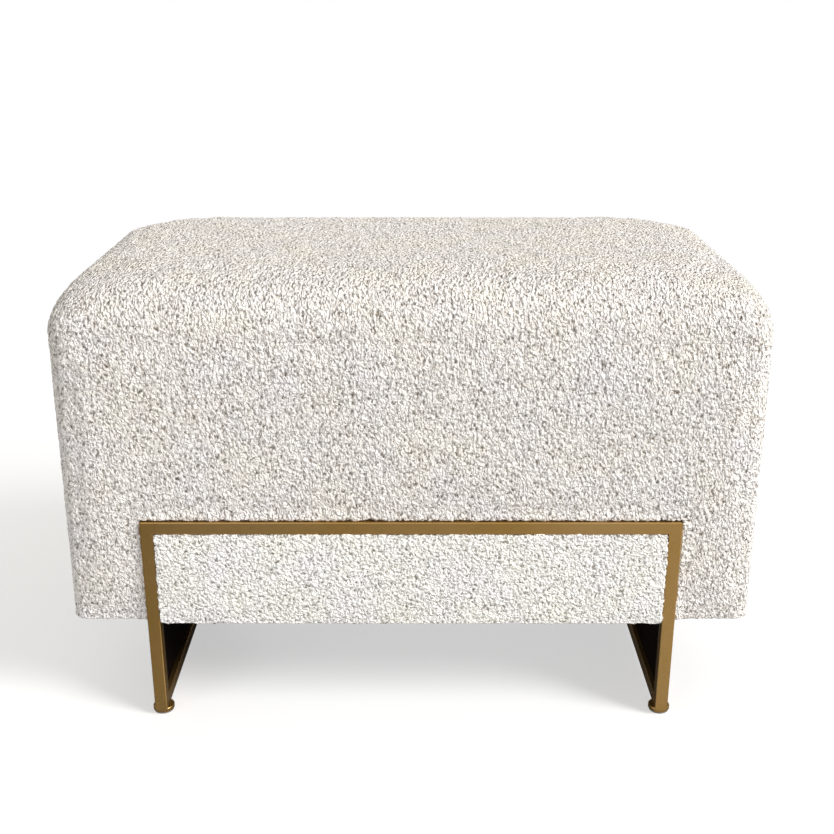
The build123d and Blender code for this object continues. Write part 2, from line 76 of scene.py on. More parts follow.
# %% [markdown]
# ## Camera
#
# The camera stands straight in front of the ottoman, a little above the seat, and looks down at
# it. Its height, distance and focal length come from fitting the box and the gold frame's corners
# to the picture, which is 834 pixels wide.

# %% Camera
scene = bpy.context.scene
picture_px = 834
focal_px = 1175
look_down = math.radians(20.0)
camera_place = (6 * mm, -1246 * mm, 718.3 * mm)

camera = bpy.data.cameras.new("camera")
camera.sensor_width = 36
camera.lens = camera.sensor_width * focal_px / picture_px
camera_object = bpy.data.objects.new("camera", camera)
camera_object.location = camera_place
camera_object.rotation_euler = (math.pi / 2 - look_down, 0, 0)
scene.collection.objects.link(camera_object)
scene.camera = camera_object
scene.view_settings.view_transform = "Standard"
print(f"camera: {camera.lens:.1f} mm lens")


# %% [markdown]
# ## Meshes from arrays
#
# Each new piece is worked out with numpy as patches of a grid, and the patches are sewn together
# where their border points coincide. A quad whose two corners coincide, as at the tip of a fan,
# becomes a triangle. `foreach_set` hands the arrays to Blender in one go, which is far faster than
# adding points one by one.


# %% Meshes from arrays
def grid_quads(rows, columns, closed=False):
    """Corner numbers of the quads of a grid, row by row; closed joins the last column to the first."""
    row = np.arange(rows - 1)[:, None]
    column = np.arange(columns if closed else columns - 1)[None, :]
    after = (column + 1) % columns
    low, high = row * columns, (row + 1) * columns
    corners = (low + column, low + after, high + after, high + column)
    return np.stack([np.broadcast_to(c, (rows - 1, column.size)) for c in corners], -1).reshape(-1, 4)


def sewn(patches):
    """One set of points and faces from (points, quads) patches, with coinciding points merged."""
    starts = np.cumsum([0] + [len(points) for points, _ in patches])
    points = np.concatenate([points for points, _ in patches])
    quads = np.concatenate([quads + start for (_, quads), start in zip(patches, starts)])
    keys = np.round(points / (0.01 * mm)).astype(np.int64)
    _, first, number = np.unique(keys, axis=0, return_index=True, return_inverse=True)
    quads = number.ravel()[quads]
    points = points[first]
    repeats = quads == np.roll(quads, -1, axis=1)
    full = quads[~repeats.any(1)]
    flat = quads[repeats.sum(1) == 1]
    kept = ~repeats[repeats.sum(1) == 1]
    return points, full, flat[kept].reshape(-1, 3)


def add_piece(name, points, quads, triangles=None, finish=None):
    """A smooth-shaded object at the origin with these points and faces."""
    if triangles is None:
        triangles = np.zeros((0, 3), int)
    mesh = bpy.data.meshes.new(name)
    mesh.vertices.add(len(points))
    mesh.vertices.foreach_set("co", points.astype(np.float32).ravel())
    mesh.loops.add(quads.size + triangles.size)
    corners = np.concatenate([quads.ravel(), triangles.ravel()])
    mesh.loops.foreach_set("vertex_index", corners.astype(np.int32))
    starts = np.concatenate([np.arange(len(quads)) * 4, quads.size + np.arange(len(triangles)) * 3])
    mesh.polygons.add(len(starts))
    mesh.polygons.foreach_set("loop_start", starts.astype(np.int32))
    mesh.update(calc_edges=True)
    mesh.validate()
    mesh.shade_smooth()
    piece = bpy.data.objects.new(name, mesh)
    scene.collection.objects.link(piece)
    if finish is not None:
        mesh.materials.append(finish)
    return piece


def points_of(mesh):
    """The mesh's points as an array of rows."""
    places = np.empty(len(mesh.vertices) * 3, np.float32)
    mesh.vertices.foreach_get("co", places)
    return places.reshape(-1, 3).astype(float)


def normals_of(mesh):
    """The mesh's smooth normals as an array of rows."""
    normals = np.empty(len(mesh.vertices) * 3, np.float32)
    mesh.vertex_normals.foreach_get("vector", normals)
    return normals.reshape(-1, 3).astype(float)


def set_points(mesh, places):
    """Moves the mesh's points to these places."""
    mesh.vertices.foreach_set("co", places.astype(np.float32).ravel())
    mesh.update()


def smoothstep(x):
    """0 below 0, 1 above 1 and a soft S between them."""
    x = np.clip(x, 0, 1)
    return x * x * (3 - 2 * x)


# %% [markdown]
# ## Shader groups that the finishes share
#
# Four effects turn up in the finishes: slow patches of tint, a fine grain of fibres or brush marks,
# a woven structure, and the curled loops of the bouclé. Each is built once as a node group with
# named inputs, and every material sets its own values. They read Object coordinates, or the sheet's
# own flat map for the weave, so they sit still on the piece.


# %% Shader groups
def new_group(name, inputs, outputs):
    """An empty node group with the given sockets; returns the tree, its input and its output node."""
    tree = bpy.data.node_groups.new(name, "ShaderNodeTree")
    for socket, kind, value in inputs:
        made = tree.interface.new_socket(socket, in_out="INPUT", socket_type=kind)
        made.default_value = value
    for socket, kind in outputs:
        tree.interface.new_socket(socket, in_out="OUTPUT", socket_type=kind)
    return tree, tree.nodes.new("NodeGroupInput"), tree.nodes.new("NodeGroupOutput")


def add_node(tree, kind, values=None, **settings):
    """A node with its settings and the default values of its inputs."""
    node = tree.nodes.new(kind)
    for key, value in settings.items():
        setattr(node, key, value)
    for socket, value in (values or {}).items():
        node.inputs[socket].default_value = value
    return node


def link(tree, source, target):
    """Joins an output socket to an input socket."""
    tree.links.new(source, target)


def mottle_group():
    """Slow patches: noise of a given scale picks a colour between two."""
    tree, given, result = new_group(
        "mottle",
        [
            ("Scale", "NodeSocketFloat", 20.0),
            ("Low", "NodeSocketColor", (0, 0, 0, 1)),
            ("High", "NodeSocketColor", (1, 1, 1, 1)),
        ],
        [("Color", "NodeSocketColor"), ("Mask", "NodeSocketFloat")],
    )
    place = add_node(tree, "ShaderNodeTexCoord")
    noise = add_node(tree, "ShaderNodeTexNoise", {"Detail": 2.0, "Roughness": 0.5})
    spread = add_node(tree, "ShaderNodeMapRange", {"From Min": 0.3, "From Max": 0.7})
    mix = add_node(tree, "ShaderNodeMix", data_type="RGBA")
    link(tree, place.outputs["Object"], noise.inputs["Vector"])
    link(tree, given.outputs["Scale"], noise.inputs["Scale"])
    link(tree, noise.outputs["Fac"], spread.inputs["Value"])
    link(tree, spread.outputs["Result"], mix.inputs["Factor"])
    link(tree, given.outputs["Low"], mix.inputs["A"])
    link(tree, given.outputs["High"], mix.inputs["B"])
    link(tree, mix.outputs["Result"], result.inputs["Color"])
    link(tree, spread.outputs["Result"], result.inputs["Mask"])
    return tree


def grain_group():
    """Fine grain: detailed noise, drawn out along an axis by a stretch; puts out a height and a mask."""
    tree, given, result = new_group(
        "grain",
        [
            ("Scale", "NodeSocketFloat", 800.0),
            ("Stretch", "NodeSocketVector", (1, 1, 1)),
            ("Low", "NodeSocketFloat", 0.0),
            ("High", "NodeSocketFloat", 1.0),
        ],
        [("Height", "NodeSocketFloat"), ("Value", "NodeSocketFloat")],
    )
    place = add_node(tree, "ShaderNodeTexCoord")
    stretch = add_node(tree, "ShaderNodeVectorMath", operation="MULTIPLY")
    noise = add_node(tree, "ShaderNodeTexNoise", {"Detail": 4.0, "Roughness": 0.6})
    spread = add_node(tree, "ShaderNodeMapRange", {"From Min": 0.25, "From Max": 0.75})
    link(tree, place.outputs["Object"], stretch.inputs[0])
    link(tree, given.outputs["Stretch"], stretch.inputs[1])
    link(tree, stretch.outputs["Vector"], noise.inputs["Vector"])
    link(tree, given.outputs["Scale"], noise.inputs["Scale"])
    link(tree, noise.outputs["Fac"], spread.inputs["Value"])
    link(tree, given.outputs["Low"], spread.inputs["To Min"])
    link(tree, given.outputs["High"], spread.inputs["To Max"])
    link(tree, noise.outputs["Fac"], result.inputs["Height"])
    link(tree, spread.outputs["Result"], result.inputs["Value"])
    return tree


def weave_group():
    """Plain weave on a UV map laid out in metres: the product of two sine ridges, one per thread way."""
    tree, given, result = new_group(
        "weave",
        [("Threads", "NodeSocketFloat", 1200.0)],
        [("Height", "NodeSocketFloat")],
    )
    place = add_node(tree, "ShaderNodeTexCoord")
    scaled = add_node(tree, "ShaderNodeVectorMath", operation="SCALE")
    split = add_node(tree, "ShaderNodeSeparateXYZ")
    across = add_node(tree, "ShaderNodeMath", operation="SINE")
    along = add_node(tree, "ShaderNodeMath", operation="SINE")
    over = add_node(tree, "ShaderNodeMath", operation="MULTIPLY")
    lift = add_node(tree, "ShaderNodeMath", {1: 0.5, 2: 0.5}, operation="MULTIPLY_ADD")
    link(tree, place.outputs["UV"], scaled.inputs[0])
    link(tree, given.outputs["Threads"], scaled.inputs["Scale"])
    link(tree, scaled.outputs["Vector"], split.inputs["Vector"])
    link(tree, split.outputs["X"], across.inputs[0])
    link(tree, split.outputs["Y"], along.inputs[0])
    link(tree, across.outputs["Value"], over.inputs[0])
    link(tree, along.outputs["Value"], over.inputs[1])
    link(tree, over.outputs["Value"], lift.inputs[0])
    link(tree, lift.outputs["Value"], result.inputs["Height"])
    return tree


def loops_group():
    """Curled yarn: soft noise drawn out to a loop's size, with the rounded tips of shaken cells on it."""
    tree, given, result = new_group(
        "loops",
        [
            ("Density", "NodeSocketVector", (300, 300, 200)),
            ("Shake", "NodeSocketFloat", 0.004),
            ("Tips", "NodeSocketFloat", 0.3),
        ],
        [("Height", "NodeSocketFloat")],
    )
    place = add_node(tree, "ShaderNodeTexCoord")
    noise = add_node(tree, "ShaderNodeTexNoise", {"Scale": 120.0, "Detail": 1.0})
    centred = add_node(tree, "ShaderNodeVectorMath", {1: (0.5, 0.5, 0.5)}, operation="SUBTRACT")
    shaken = add_node(tree, "ShaderNodeVectorMath", operation="SCALE")
    moved = add_node(tree, "ShaderNodeVectorMath", operation="ADD")
    scaled = add_node(tree, "ShaderNodeVectorMath", operation="MULTIPLY")
    curls = add_node(tree, "ShaderNodeTexNoise", {"Scale": 0.8, "Detail": 1.0, "Roughness": 0.45})
    cells = add_node(tree, "ShaderNodeTexVoronoi", {"Scale": 1.0, "Randomness": 1.0})
    square = add_node(tree, "ShaderNodeMath", {1: 2.0}, operation="POWER")
    tips = add_node(tree, "ShaderNodeMath", {0: 1.0}, operation="SUBTRACT")
    spread = add_node(tree, "ShaderNodeMapRange", {"From Min": 0.25, "From Max": 0.75})
    height = add_node(tree, "ShaderNodeMix")
    link(tree, place.outputs["Object"], noise.inputs["Vector"])
    link(tree, noise.outputs["Color"], centred.inputs[0])
    link(tree, centred.outputs["Vector"], shaken.inputs[0])
    link(tree, given.outputs["Shake"], shaken.inputs["Scale"])
    link(tree, place.outputs["Object"], moved.inputs[0])
    link(tree, shaken.outputs["Vector"], moved.inputs[1])
    link(tree, moved.outputs["Vector"], scaled.inputs[0])
    link(tree, given.outputs["Density"], scaled.inputs[1])
    link(tree, scaled.outputs["Vector"], curls.inputs["Vector"])
    link(tree, curls.outputs["Fac"], spread.inputs["Value"])
    link(tree, scaled.outputs["Vector"], cells.inputs["Vector"])
    link(tree, cells.outputs["Distance"], square.inputs[0])
    link(tree, square.outputs["Value"], tips.inputs[1])
    link(tree, given.outputs["Tips"], height.inputs["Factor"])
    link(tree, spread.outputs["Result"], height.inputs["A"])
    link(tree, tips.outputs["Value"], height.inputs["B"])
    link(tree, height.outputs["Result"], result.inputs["Height"])
    return tree


groups = {"mottle": mottle_group(), "grain": grain_group(), "weave": weave_group(), "loops": loops_group()}
print("shader groups:", ", ".join(groups))


# %% [markdown]
# ## Finishes
#
# A finish is one Principled shader with numbers that are the same all over set straight on its
# sockets, and the groups driving what changes over the surface. `start_finish` makes the shader;
# the small functions below it each describe one real material.


# %% Tools for finishes
def start_finish(name, sockets):
    """A material with one Principled shader and these plain socket values."""
    material = bpy.data.materials.new(name)
    material.use_nodes = True
    tree = material.node_tree
    shader = tree.nodes["Principled BSDF"]
    for socket, value in sockets.items():
        shader.inputs[socket].default_value = value
    return material, tree, shader


def place_group(tree, name, values):
    """One of the shared groups, placed in a material with its own values."""
    return add_node(tree, "ShaderNodeGroup", values, node_tree=groups[name])


def add_bump(tree, shader, height, distance, strength=1.0):
    """A bump of the given depth in metres, joined to the shader's normal."""
    bump = add_node(tree, "ShaderNodeBump", {"Strength": strength, "Distance": distance})
    link(tree, height, bump.inputs["Height"])
    link(tree, bump.outputs["Normal"], shader.inputs["Normal"])
    return bump


def rgb(red, green, blue):
    """A shader colour with full alpha."""
    return (red, green, blue, 1.0)


# %% Bouclé finish
# painted_gap_shade is painted shade: the dark brown the ramp gives low loops stands in for the shade
# between them, not a colour of the yarn.
painted_gap_shade, gap_to_tip = (0.225, 0.186, 0.147), (0.2, 0.57)
ivory, pale_ivory = (0.915, 0.886, 0.862), (0.945, 0.943, 0.917)
yarn_size, inset_yarn_size = (2.0 * mm, 2.8 * mm, 2.95 * mm), (2.45 * mm, 2.45 * mm, 2.5 * mm)


def boucle_finish(name, loop_size, tip_colour, bump):
    """Ivory bouclé with pale tips and faint warm and cool patches; the brown between the loops is painted
    shade.
    """
    material, tree, shader = start_finish(
        name, {"Roughness": 0.95, "Sheen Weight": 0.1, "Sheen Roughness": 0.6, "Specular IOR Level": 0.12}
    )
    density = [1 / size for size in loop_size]
    loops = place_group(tree, "loops", {"Density": density, "Shake": 4 * mm, "Tips": 0.35})
    # Pile height and loop height drive the ramp, so low places between the loops get the painted shade and
    # high loops the pale tip colour.
    pile = add_node(tree, "ShaderNodeAttribute", attribute_name="pile")
    both = add_node(tree, "ShaderNodeMath", {1: 0.1}, operation="MULTIPLY_ADD")
    shade = add_node(tree, "ShaderNodeValToRGB")
    for stop, position, colour in zip(shade.color_ramp.elements, gap_to_tip, (painted_gap_shade, tip_colour)):
        stop.position = position
        stop.color = rgb(*colour)
    patches = place_group(
        tree, "mottle", {"Scale": 24.0, "Low": rgb(1.0, 0.98, 0.93), "High": rgb(0.985, 0.97, 0.99)}
    )
    tint = add_node(tree, "ShaderNodeMix", {"Factor": 1.0}, data_type="RGBA", blend_type="MULTIPLY")
    link(tree, pile.outputs["Fac"], both.inputs[0])
    link(tree, loops.outputs["Height"], both.inputs[2])
    link(tree, both.outputs["Value"], shade.inputs["Fac"])
    link(tree, shade.outputs["Color"], tint.inputs["A"])
    link(tree, patches.outputs["Color"], tint.inputs["B"])
    link(tree, tint.outputs["Result"], shader.inputs["Base Color"])
    add_bump(tree, shader, loops.outputs["Height"], bump)
    return material


# %% Metal finishes
def gold_finish():
    """Satin gold on steel tube: slow tone patches, faint brush marks and a slightly uneven gloss."""
    material, tree, shader = start_finish("gold_tube", {"Metallic": 0.9})
    tone = place_group(
        tree, "mottle", {"Scale": 9.0, "Low": rgb(0.40, 0.235, 0.068), "High": rgb(0.45, 0.28, 0.105)}
    )
    brush = place_group(
        tree, "grain", {"Scale": 500.0, "Stretch": (0.25, 1.0, 0.25), "Low": 0.24, "High": 0.36}
    )
    link(tree, tone.outputs["Color"], shader.inputs["Base Color"])
    link(tree, brush.outputs["Value"], shader.inputs["Roughness"])
    add_bump(tree, shader, brush.outputs["Height"], 0.02 * mm)
    return material


def zinc_finish():
    """Zinc-plated steel of hinges, stays and screws: grey with faint blue and straw patches."""
    material, tree, shader = start_finish("zinc_steel", {"Metallic": 1.0})
    tone = place_group(
        tree, "mottle", {"Scale": 60.0, "Low": rgb(0.46, 0.465, 0.48), "High": rgb(0.58, 0.565, 0.52)}
    )
    brush = place_group(
        tree, "grain", {"Scale": 900.0, "Stretch": (0.2, 1.0, 1.0), "Low": 0.25, "High": 0.45}
    )
    link(tree, tone.outputs["Color"], shader.inputs["Base Color"])
    link(tree, brush.outputs["Value"], shader.inputs["Roughness"])
    add_bump(tree, shader, brush.outputs["Height"], 0.02 * mm)
    return material


def black_finish():
    """Black powder coat of the side sheets and rails: a brown cast and a fine orange peel."""
    material, tree, shader = start_finish("black_panel", {"Specular IOR Level": 0.04})
    dark, brown = rgb(0.003, 0.0018, 0.0014), rgb(0.009, 0.0045, 0.003)
    tone = place_group(tree, "mottle", {"Scale": 14.0, "Low": dark, "High": brown})
    peel = place_group(tree, "grain", {"Scale": 700.0, "Low": 0.5, "High": 0.68})
    link(tree, tone.outputs["Color"], shader.inputs["Base Color"])
    link(tree, peel.outputs["Value"], shader.inputs["Roughness"])
    add_bump(tree, shader, peel.outputs["Height"], 0.08 * mm)
    return material


# %% Wood, lining and felt finishes
def plywood_finish():
    """Plain plywood: long grain streaks between two browns."""
    material, tree, shader = start_finish("plywood", {"Specular IOR Level": 0.3})
    streaks = place_group(
        tree, "grain", {"Scale": 90.0, "Stretch": (0.06, 1.0, 1.0), "Low": 0.55, "High": 0.75}
    )
    tone = add_node(tree, "ShaderNodeMix", data_type="RGBA")
    tone.inputs["A"].default_value = rgb(0.42, 0.27, 0.14)
    tone.inputs["B"].default_value = rgb(0.66, 0.49, 0.31)
    link(tree, streaks.outputs["Height"], tone.inputs["Factor"])
    link(tree, tone.outputs["Result"], shader.inputs["Base Color"])
    link(tree, streaks.outputs["Value"], shader.inputs["Roughness"])
    add_bump(tree, shader, streaks.outputs["Height"], 0.15 * mm)
    return material


def cloth_finish(name, low, high, threads, depth):
    """A plain woven cloth: two close tones in patches and a weave of so many threads to the metre."""
    material, tree, shader = start_finish(
        name, {"Roughness": 0.9, "Sheen Weight": 0.15, "Sheen Roughness": 0.5, "Specular IOR Level": 0.2}
    )
    tone = place_group(tree, "mottle", {"Scale": 45.0, "Low": low, "High": high})
    weave = place_group(tree, "weave", {"Threads": 2 * math.pi * threads})
    shade = add_node(tree, "ShaderNodeMix", {"Factor": 0.35}, data_type="RGBA", blend_type="MULTIPLY")
    link(tree, tone.outputs["Color"], shade.inputs["A"])
    link(tree, weave.outputs["Height"], shade.inputs["B"])
    link(tree, shade.outputs["Result"], shader.inputs["Base Color"])
    add_bump(tree, shader, weave.outputs["Height"], depth)
    return material


def felt_finish():
    """Pressed felt: short tangled fibres in two greys."""
    material, tree, shader = start_finish("felt", {"Roughness": 0.95, "Sheen Weight": 0.2})
    tone = place_group(
        tree, "mottle", {"Scale": 220.0, "Low": rgb(0.20, 0.18, 0.16), "High": rgb(0.31, 0.285, 0.25)}
    )
    fibres = place_group(tree, "grain", {"Scale": 1600.0})
    link(tree, tone.outputs["Color"], shader.inputs["Base Color"])
    add_bump(tree, shader, fibres.outputs["Height"], 0.3 * mm)
    return material


finishes = {
    "boucle": boucle_finish("boucle", yarn_size, ivory, 5.8 * mm),
    "inset_boucle": boucle_finish("inset_boucle", inset_yarn_size, pale_ivory, 4.4 * mm),
    "gold_tube": gold_finish(),
    "zinc_steel": zinc_finish(),
    "black_panel": black_finish(),
    "plywood": plywood_finish(),
    "felt": felt_finish(),
    "lining": cloth_finish("lining", rgb(0.095, 0.093, 0.091), rgb(0.11, 0.108, 0.106), 900, 0.12 * mm),
    "dust_cover": cloth_finish(
        "dust_cover", rgb(0.012, 0.012, 0.012), rgb(0.022, 0.022, 0.023), 500, 0.1 * mm
    ),
}
print("finishes:", ", ".join(finishes))


# %% [markdown]
# ## Finishing the parts of the frame
#
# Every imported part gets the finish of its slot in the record. Wadding and foam have no finish of
# their own, so they take the lining's: they are replaced below, with the other soft parts.

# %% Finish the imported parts
slot_of = {part["node"]: part["material_slot"] for part in frame["record"]["subparts"]}
for node, packed in frame["nodes"].items():
    packed.data.materials.clear()
    packed.data.materials.append(finishes.get(slot_of[node], finishes["lining"]))
print("packed parts finished:", len(frame["nodes"]))


# %% [markdown]
# ## The bouclé's loops
#
# Bouclé is woven from a curled yarn, so its face is a pile of small irregular loops, here about
# 4 mm wide and taller than wide. A bump map alone would leave the outline of the cushion smooth,
# so the loops are real relief: the upholstery is a fine mesh, and each point is moved along its
# normal by the height of the pile there. The pile is a field in space, so it needs no unwrapping
# and has no seam: space is cut into cells with one loop each, and the highest loop shows.


# %% The bouclé's loops
loop_sizes, inset_loop_sizes = (3.4 * mm, 5.0 * mm, 5.0 * mm), (3.6 * mm, 3.6 * mm, 4.2 * mm)
loop_depth, loop_stand, loop_taper = 1.2 * mm, 0.6, 1.2
lump_size, lump_share = 15 * mm, 0.18
shake_size, shake_reach = 8 * mm, 1.1 * mm
cell_rim, least_top = 0.15, 0.6


def cell_random(cells, salt):
    """A repeatable number from 0 to 1 for each whole-numbered cell, from its mixed bits."""
    keys = cells.astype(np.uint32) * np.array([73856093, 19349663, 83492791], np.uint32)
    bits = keys[:, 0] ^ keys[:, 1] ^ keys[:, 2] ^ np.uint32(40503 * (salt + 1))
    for shift, factor in ((16, 0x7FEB352D), (15, 0x846CA68B)):
        bits ^= bits >> np.uint32(shift)
        bits *= np.uint32(factor)
    return (bits ^ (bits >> np.uint32(16))) / 2.0**32


def drift(points, size, salt):
    """Smooth noise from -1 to 1: random numbers at lattice corners, blended by S curves."""
    place = points / size
    cell = np.floor(place)
    share = smoothstep(place - cell)
    total = np.zeros(len(points))
    for corner in product((0, 1), repeat=3):
        weight = np.prod(np.where(corner, share, 1 - share), axis=1)
        total += weight * cell_random((cell + corner).astype(np.int64), salt)
    return 2 * total - 1


def loop_height(points, sizes, salt):
    """Height from 0 to 1 of the loop pile.

    The points are first shaken by smooth noise, so that the loops lean and curl. Each cell of the
    given sizes then holds a paraboloid with a random centre and top, and the highest one shows.
    """
    shake = np.stack([drift(points, shake_size, salt + axis) for axis in range(3)], 1)
    place = (points + shake_reach * shake) / np.array(sizes)
    base = np.floor(place)
    height = np.zeros(len(points))
    for step in product((-1, 0, 1), repeat=3):
        cell = (base + step).astype(np.int64)
        centre = np.stack([cell_random(cell, salt + axis) for axis in (3, 4, 5)], 1)
        away = ((place - cell - cell_rim - (1 - 2 * cell_rim) * centre) ** 2).sum(1)
        top = least_top + (1 - least_top) * cell_random(cell, salt + 6)
        height = np.maximum(height, top - loop_taper * away)
    return height


# %% [markdown]
# ## Padding the upholstery
#
# Foam pushes a cover outwards wherever nothing holds it. Blender's cloth does that well: the
# coarse cage of a piece is drawn in a little, held where it is stapled or tucked, and a
# gentle pressure fills it again. How far a point may end from the frame's form is capped. The
# filled cage is then subdivided to about 1.2 mm, and the loops are raised on it.


# %% Padding the upholstery
most_sunk = 0.9 * mm
stretch_stiffness, bending_stiffness, cloth_steps = 30, 1, 20


def filled_out(piece, held, slack, limit, pressure):
    """Draws the cage in by the slack, swells it with cloth and caps its distance from the form."""
    form = points_of(piece.data)
    outward = normals_of(piece.data)
    start = form - slack * outward * (1 - held)[:, None]
    set_points(piece.data, start)
    group = piece.vertex_groups.new(name="held")
    for weight in np.unique(np.round(held, 2)):
        members = np.flatnonzero(np.round(held, 2) == weight)
        group.add(members.tolist(), float(weight), "REPLACE")
    cloth = piece.modifiers.new("filling", "CLOTH")
    cloth.settings.vertex_group_mass = "held"
    cloth.settings.use_pressure = True
    cloth.settings.uniform_pressure_force = pressure
    cloth.settings.effector_weights.gravity = 0
    cloth.settings.tension_stiffness = stretch_stiffness
    cloth.settings.compression_stiffness = stretch_stiffness
    cloth.settings.bending_stiffness = bending_stiffness
    cloth.collision_settings.use_collision = False
    for step in range(1, cloth_steps + 1):
        scene.frame_set(step)
    seen = piece.evaluated_get(bpy.context.evaluated_depsgraph_get())
    moved = points_of(seen.data) - form
    piece.modifiers.remove(cloth)
    piece.vertex_groups.remove(group)
    scene.frame_set(1)
    sunk = np.minimum((moved * outward).sum(axis=1) + most_sunk, 0)
    moved -= sunk[:, None] * outward
    length = np.linalg.norm(moved, axis=1)
    share = np.minimum(1, limit / np.maximum(length, 1e-9))
    set_points(piece.data, form + moved * share[:, None])
    print(f"{piece.name}: cloth moved {length.mean() / mm:.2f} mm, at most {length.max() / mm:.2f} mm")


def subdivided(piece, levels):
    """Replaces the piece's cage with its subdivision surface."""
    smooth = piece.modifiers.new("round", "SUBSURF")
    smooth.levels = smooth.render_levels = levels
    seen = piece.evaluated_get(bpy.context.evaluated_depsgraph_get())
    fine = bpy.data.meshes.new_from_object(seen)
    piece.modifiers.remove(smooth)
    piece.data = fine
    fine.name = piece.name
    fine.shade_smooth()


def raise_loops(piece, sizes, depth, salt):
    """Moves every point along its normal by the loop height, and keeps that height for the finish."""
    mesh = piece.data
    places = points_of(mesh)
    height = loop_height(places, sizes, salt)
    deep = depth(places)
    lumps = lump_share * drift(places, lump_size, salt + 9)
    set_points(mesh, places + ((height - 0.5 + loop_stand + lumps) * deep)[:, None] * normals_of(mesh))
    pile = mesh.attributes.new("pile", "FLOAT", "POINT")
    pile.data.foreach_set("value", height.astype(np.float32))
    print(f"{piece.name}: {len(mesh.vertices)} points, pile {height.mean():.2f} on average")


# %% [markdown]
# ## Rounded outlines
#
# The lid and the insets are cushions on a rounded rectangle. Their side is a ring of outlines, and
# their top is one grid that fills the last outline. Both share the same points round the rim: each
# side of the grid runs from the middle of one corner arc to the middle of the next, as the faces
# of a dice do on a rounded dice. That keeps the squares even and avoids a pole in the middle.


# %% Rounded outlines
def rim_stations(long_cells, short_cells, arc_cells):
    """Core shares (-1 to 1) and facings of the points round a rounded rectangle, as rows."""
    core, facing = [], []
    sides = (((1, 0), (0, -1)), ((0, 1), (1, 0)), ((-1, 0), (0, 1)), ((0, -1), (-1, 0)))
    for (along, out), cells in zip(sides, (long_cells, short_cells) * 2):
        arc = np.linspace(0, math.pi / 4, arc_cells, endpoint=False)
        straight = np.linspace(-1, 1, cells, endpoint=False)
        run = np.concatenate([np.full(arc_cells, -1.0), straight, np.full(arc_cells, 1.0)])
        turn = np.concatenate([arc - math.pi / 4, np.zeros(cells), arc])
        core.append(run[:, None] * np.array(along) + np.array(out))
        facing.append(np.cos(turn)[:, None] * np.array(out) + np.sin(turn)[:, None] * np.array(along))
    return np.concatenate(core), np.concatenate(facing)


def fill_loop(loop, long_count, short_count):
    """A grid inside a loop of points, by Coons' rule: blend both pairs of sides, less the corners."""
    front = loop[: long_count + 1]
    right = loop[long_count : long_count + short_count + 1]
    back = loop[long_count + short_count : 2 * long_count + short_count + 1][::-1]
    left = np.concatenate([loop[2 * long_count + short_count :], loop[:1]])[::-1]
    s = np.linspace(0, 1, long_count + 1)[:, None, None]
    t = np.linspace(0, 1, short_count + 1)[None, :, None]
    sides = (1 - t) * front[:, None] + t * back[:, None] + (1 - s) * left[None] + s * right[None]
    near_corners = (1 - s) * (1 - t) * front[0] + s * (1 - t) * front[-1]
    return sides - (near_corners + (1 - s) * t * back[0] + s * t * back[-1])


def draw_in_at(points, half, radius_of, most):
    """How far inside the rim each point lies, found by halving: the outlines shrink as it grows."""
    low, high = np.zeros(len(points)), np.full(len(points), most)
    for _ in range(30):
        middle = (low + high) / 2
        radius = np.minimum(radius_of(middle), half.min() - middle - mm)
        reach = np.abs(points) - (half - middle[:, None] - radius[:, None])
        gap = np.linalg.norm(np.maximum(reach, 0), axis=1) + np.minimum(reach.max(1), 0) - radius
        low, high = np.where(gap < 0, middle, low), np.where(gap < 0, high, middle)
    return (low + high) / 2


def cushion_cage(half, rows, radius_of, level_of, most, step):
    """Patches of a cushion on the plane: a ring through rows of (draw-in, level, radius), and its top."""
    last_radius = rows[-1][2]
    arc_cells = max(1, round(last_radius * math.pi / 4 / step))
    cells = [round(2 * (side - last_radius) / step) for side in half]
    core, facing = rim_stations(cells[0], cells[1], arc_cells)
    rings = []
    for draw, level, radius in rows:
        flat = core * (half - draw - radius) + radius * facing
        rings.append(np.column_stack([flat, np.full(len(flat), level)]))
    ring = np.concatenate(rings)
    counts = [count + 2 * arc_cells for count in cells]
    flat = fill_loop(rings[-1][:, :2], *counts).reshape(-1, 2)
    level = level_of(draw_in_at(flat, half, radius_of, most))
    top = np.column_stack([flat, level])
    rim = np.zeros((counts[0] + 1, counts[1] + 1), bool)
    rim[[0, -1], :] = rim[:, [0, -1]] = True
    top[rim.ravel(), 2] = rows[-1][1]
    top_quads = grid_quads(counts[0] + 1, counts[1] + 1)
    return [(ring, grid_quads(len(rows), len(core), closed=True)), (top, top_quads)]


def face_outwards(piece):
    """Turns all faces of a shell the same way, outwards."""
    shell = bmesh.new()
    shell.from_mesh(piece.data)
    bmesh.ops.recalc_face_normals(shell, faces=shell.faces)
    shell.to_mesh(piece.data)
    shell.free()
    piece.data.shade_smooth()


# %% [markdown]
# ## The lid cushion
#
# The lid is a board with foam on it, under one bouclé cover. The cover goes straight up from the
# lid line, turns over in a wide rounded edge, rises slightly to the middle and is folded under the
# board all round. It is sewn from three lengths of cloth, so two faint seams run from front to
# back. The cover is held at the fold.

# %% The lid cushion
lid_low, lid_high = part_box("lid_cover")
loop_room = 1.2 * mm
half_size = np.array([lid_high.x - loop_room, lid_high.y])
corner_radius, seat_corner_radius = 24 * mm, 106 * mm
edge_radius, crown_rise, crown_run = 48 * mm, 4 * mm, 130 * mm
shoulder_rise = 5 * mm
lid_hem, lid_hem_radius = 19 * mm, 17 * mm
cage_step = 5 * mm
seam_xs = (-108 * mm, 108 * mm)
seam_width, seam_depth = 1.7 * mm, 0.5 * mm
wave_depth = 1.1 * mm
shoulder = lid_low.z + shoulder_rise
edge_rise = lid_high.z - loop_room - crown_rise - shoulder


def lid_radius(draw):
    """The corner's radius grows from the side's to the seat's over the rounded edge."""
    return corner_radius + np.minimum(draw / edge_radius, 1) * (seat_corner_radius - corner_radius)


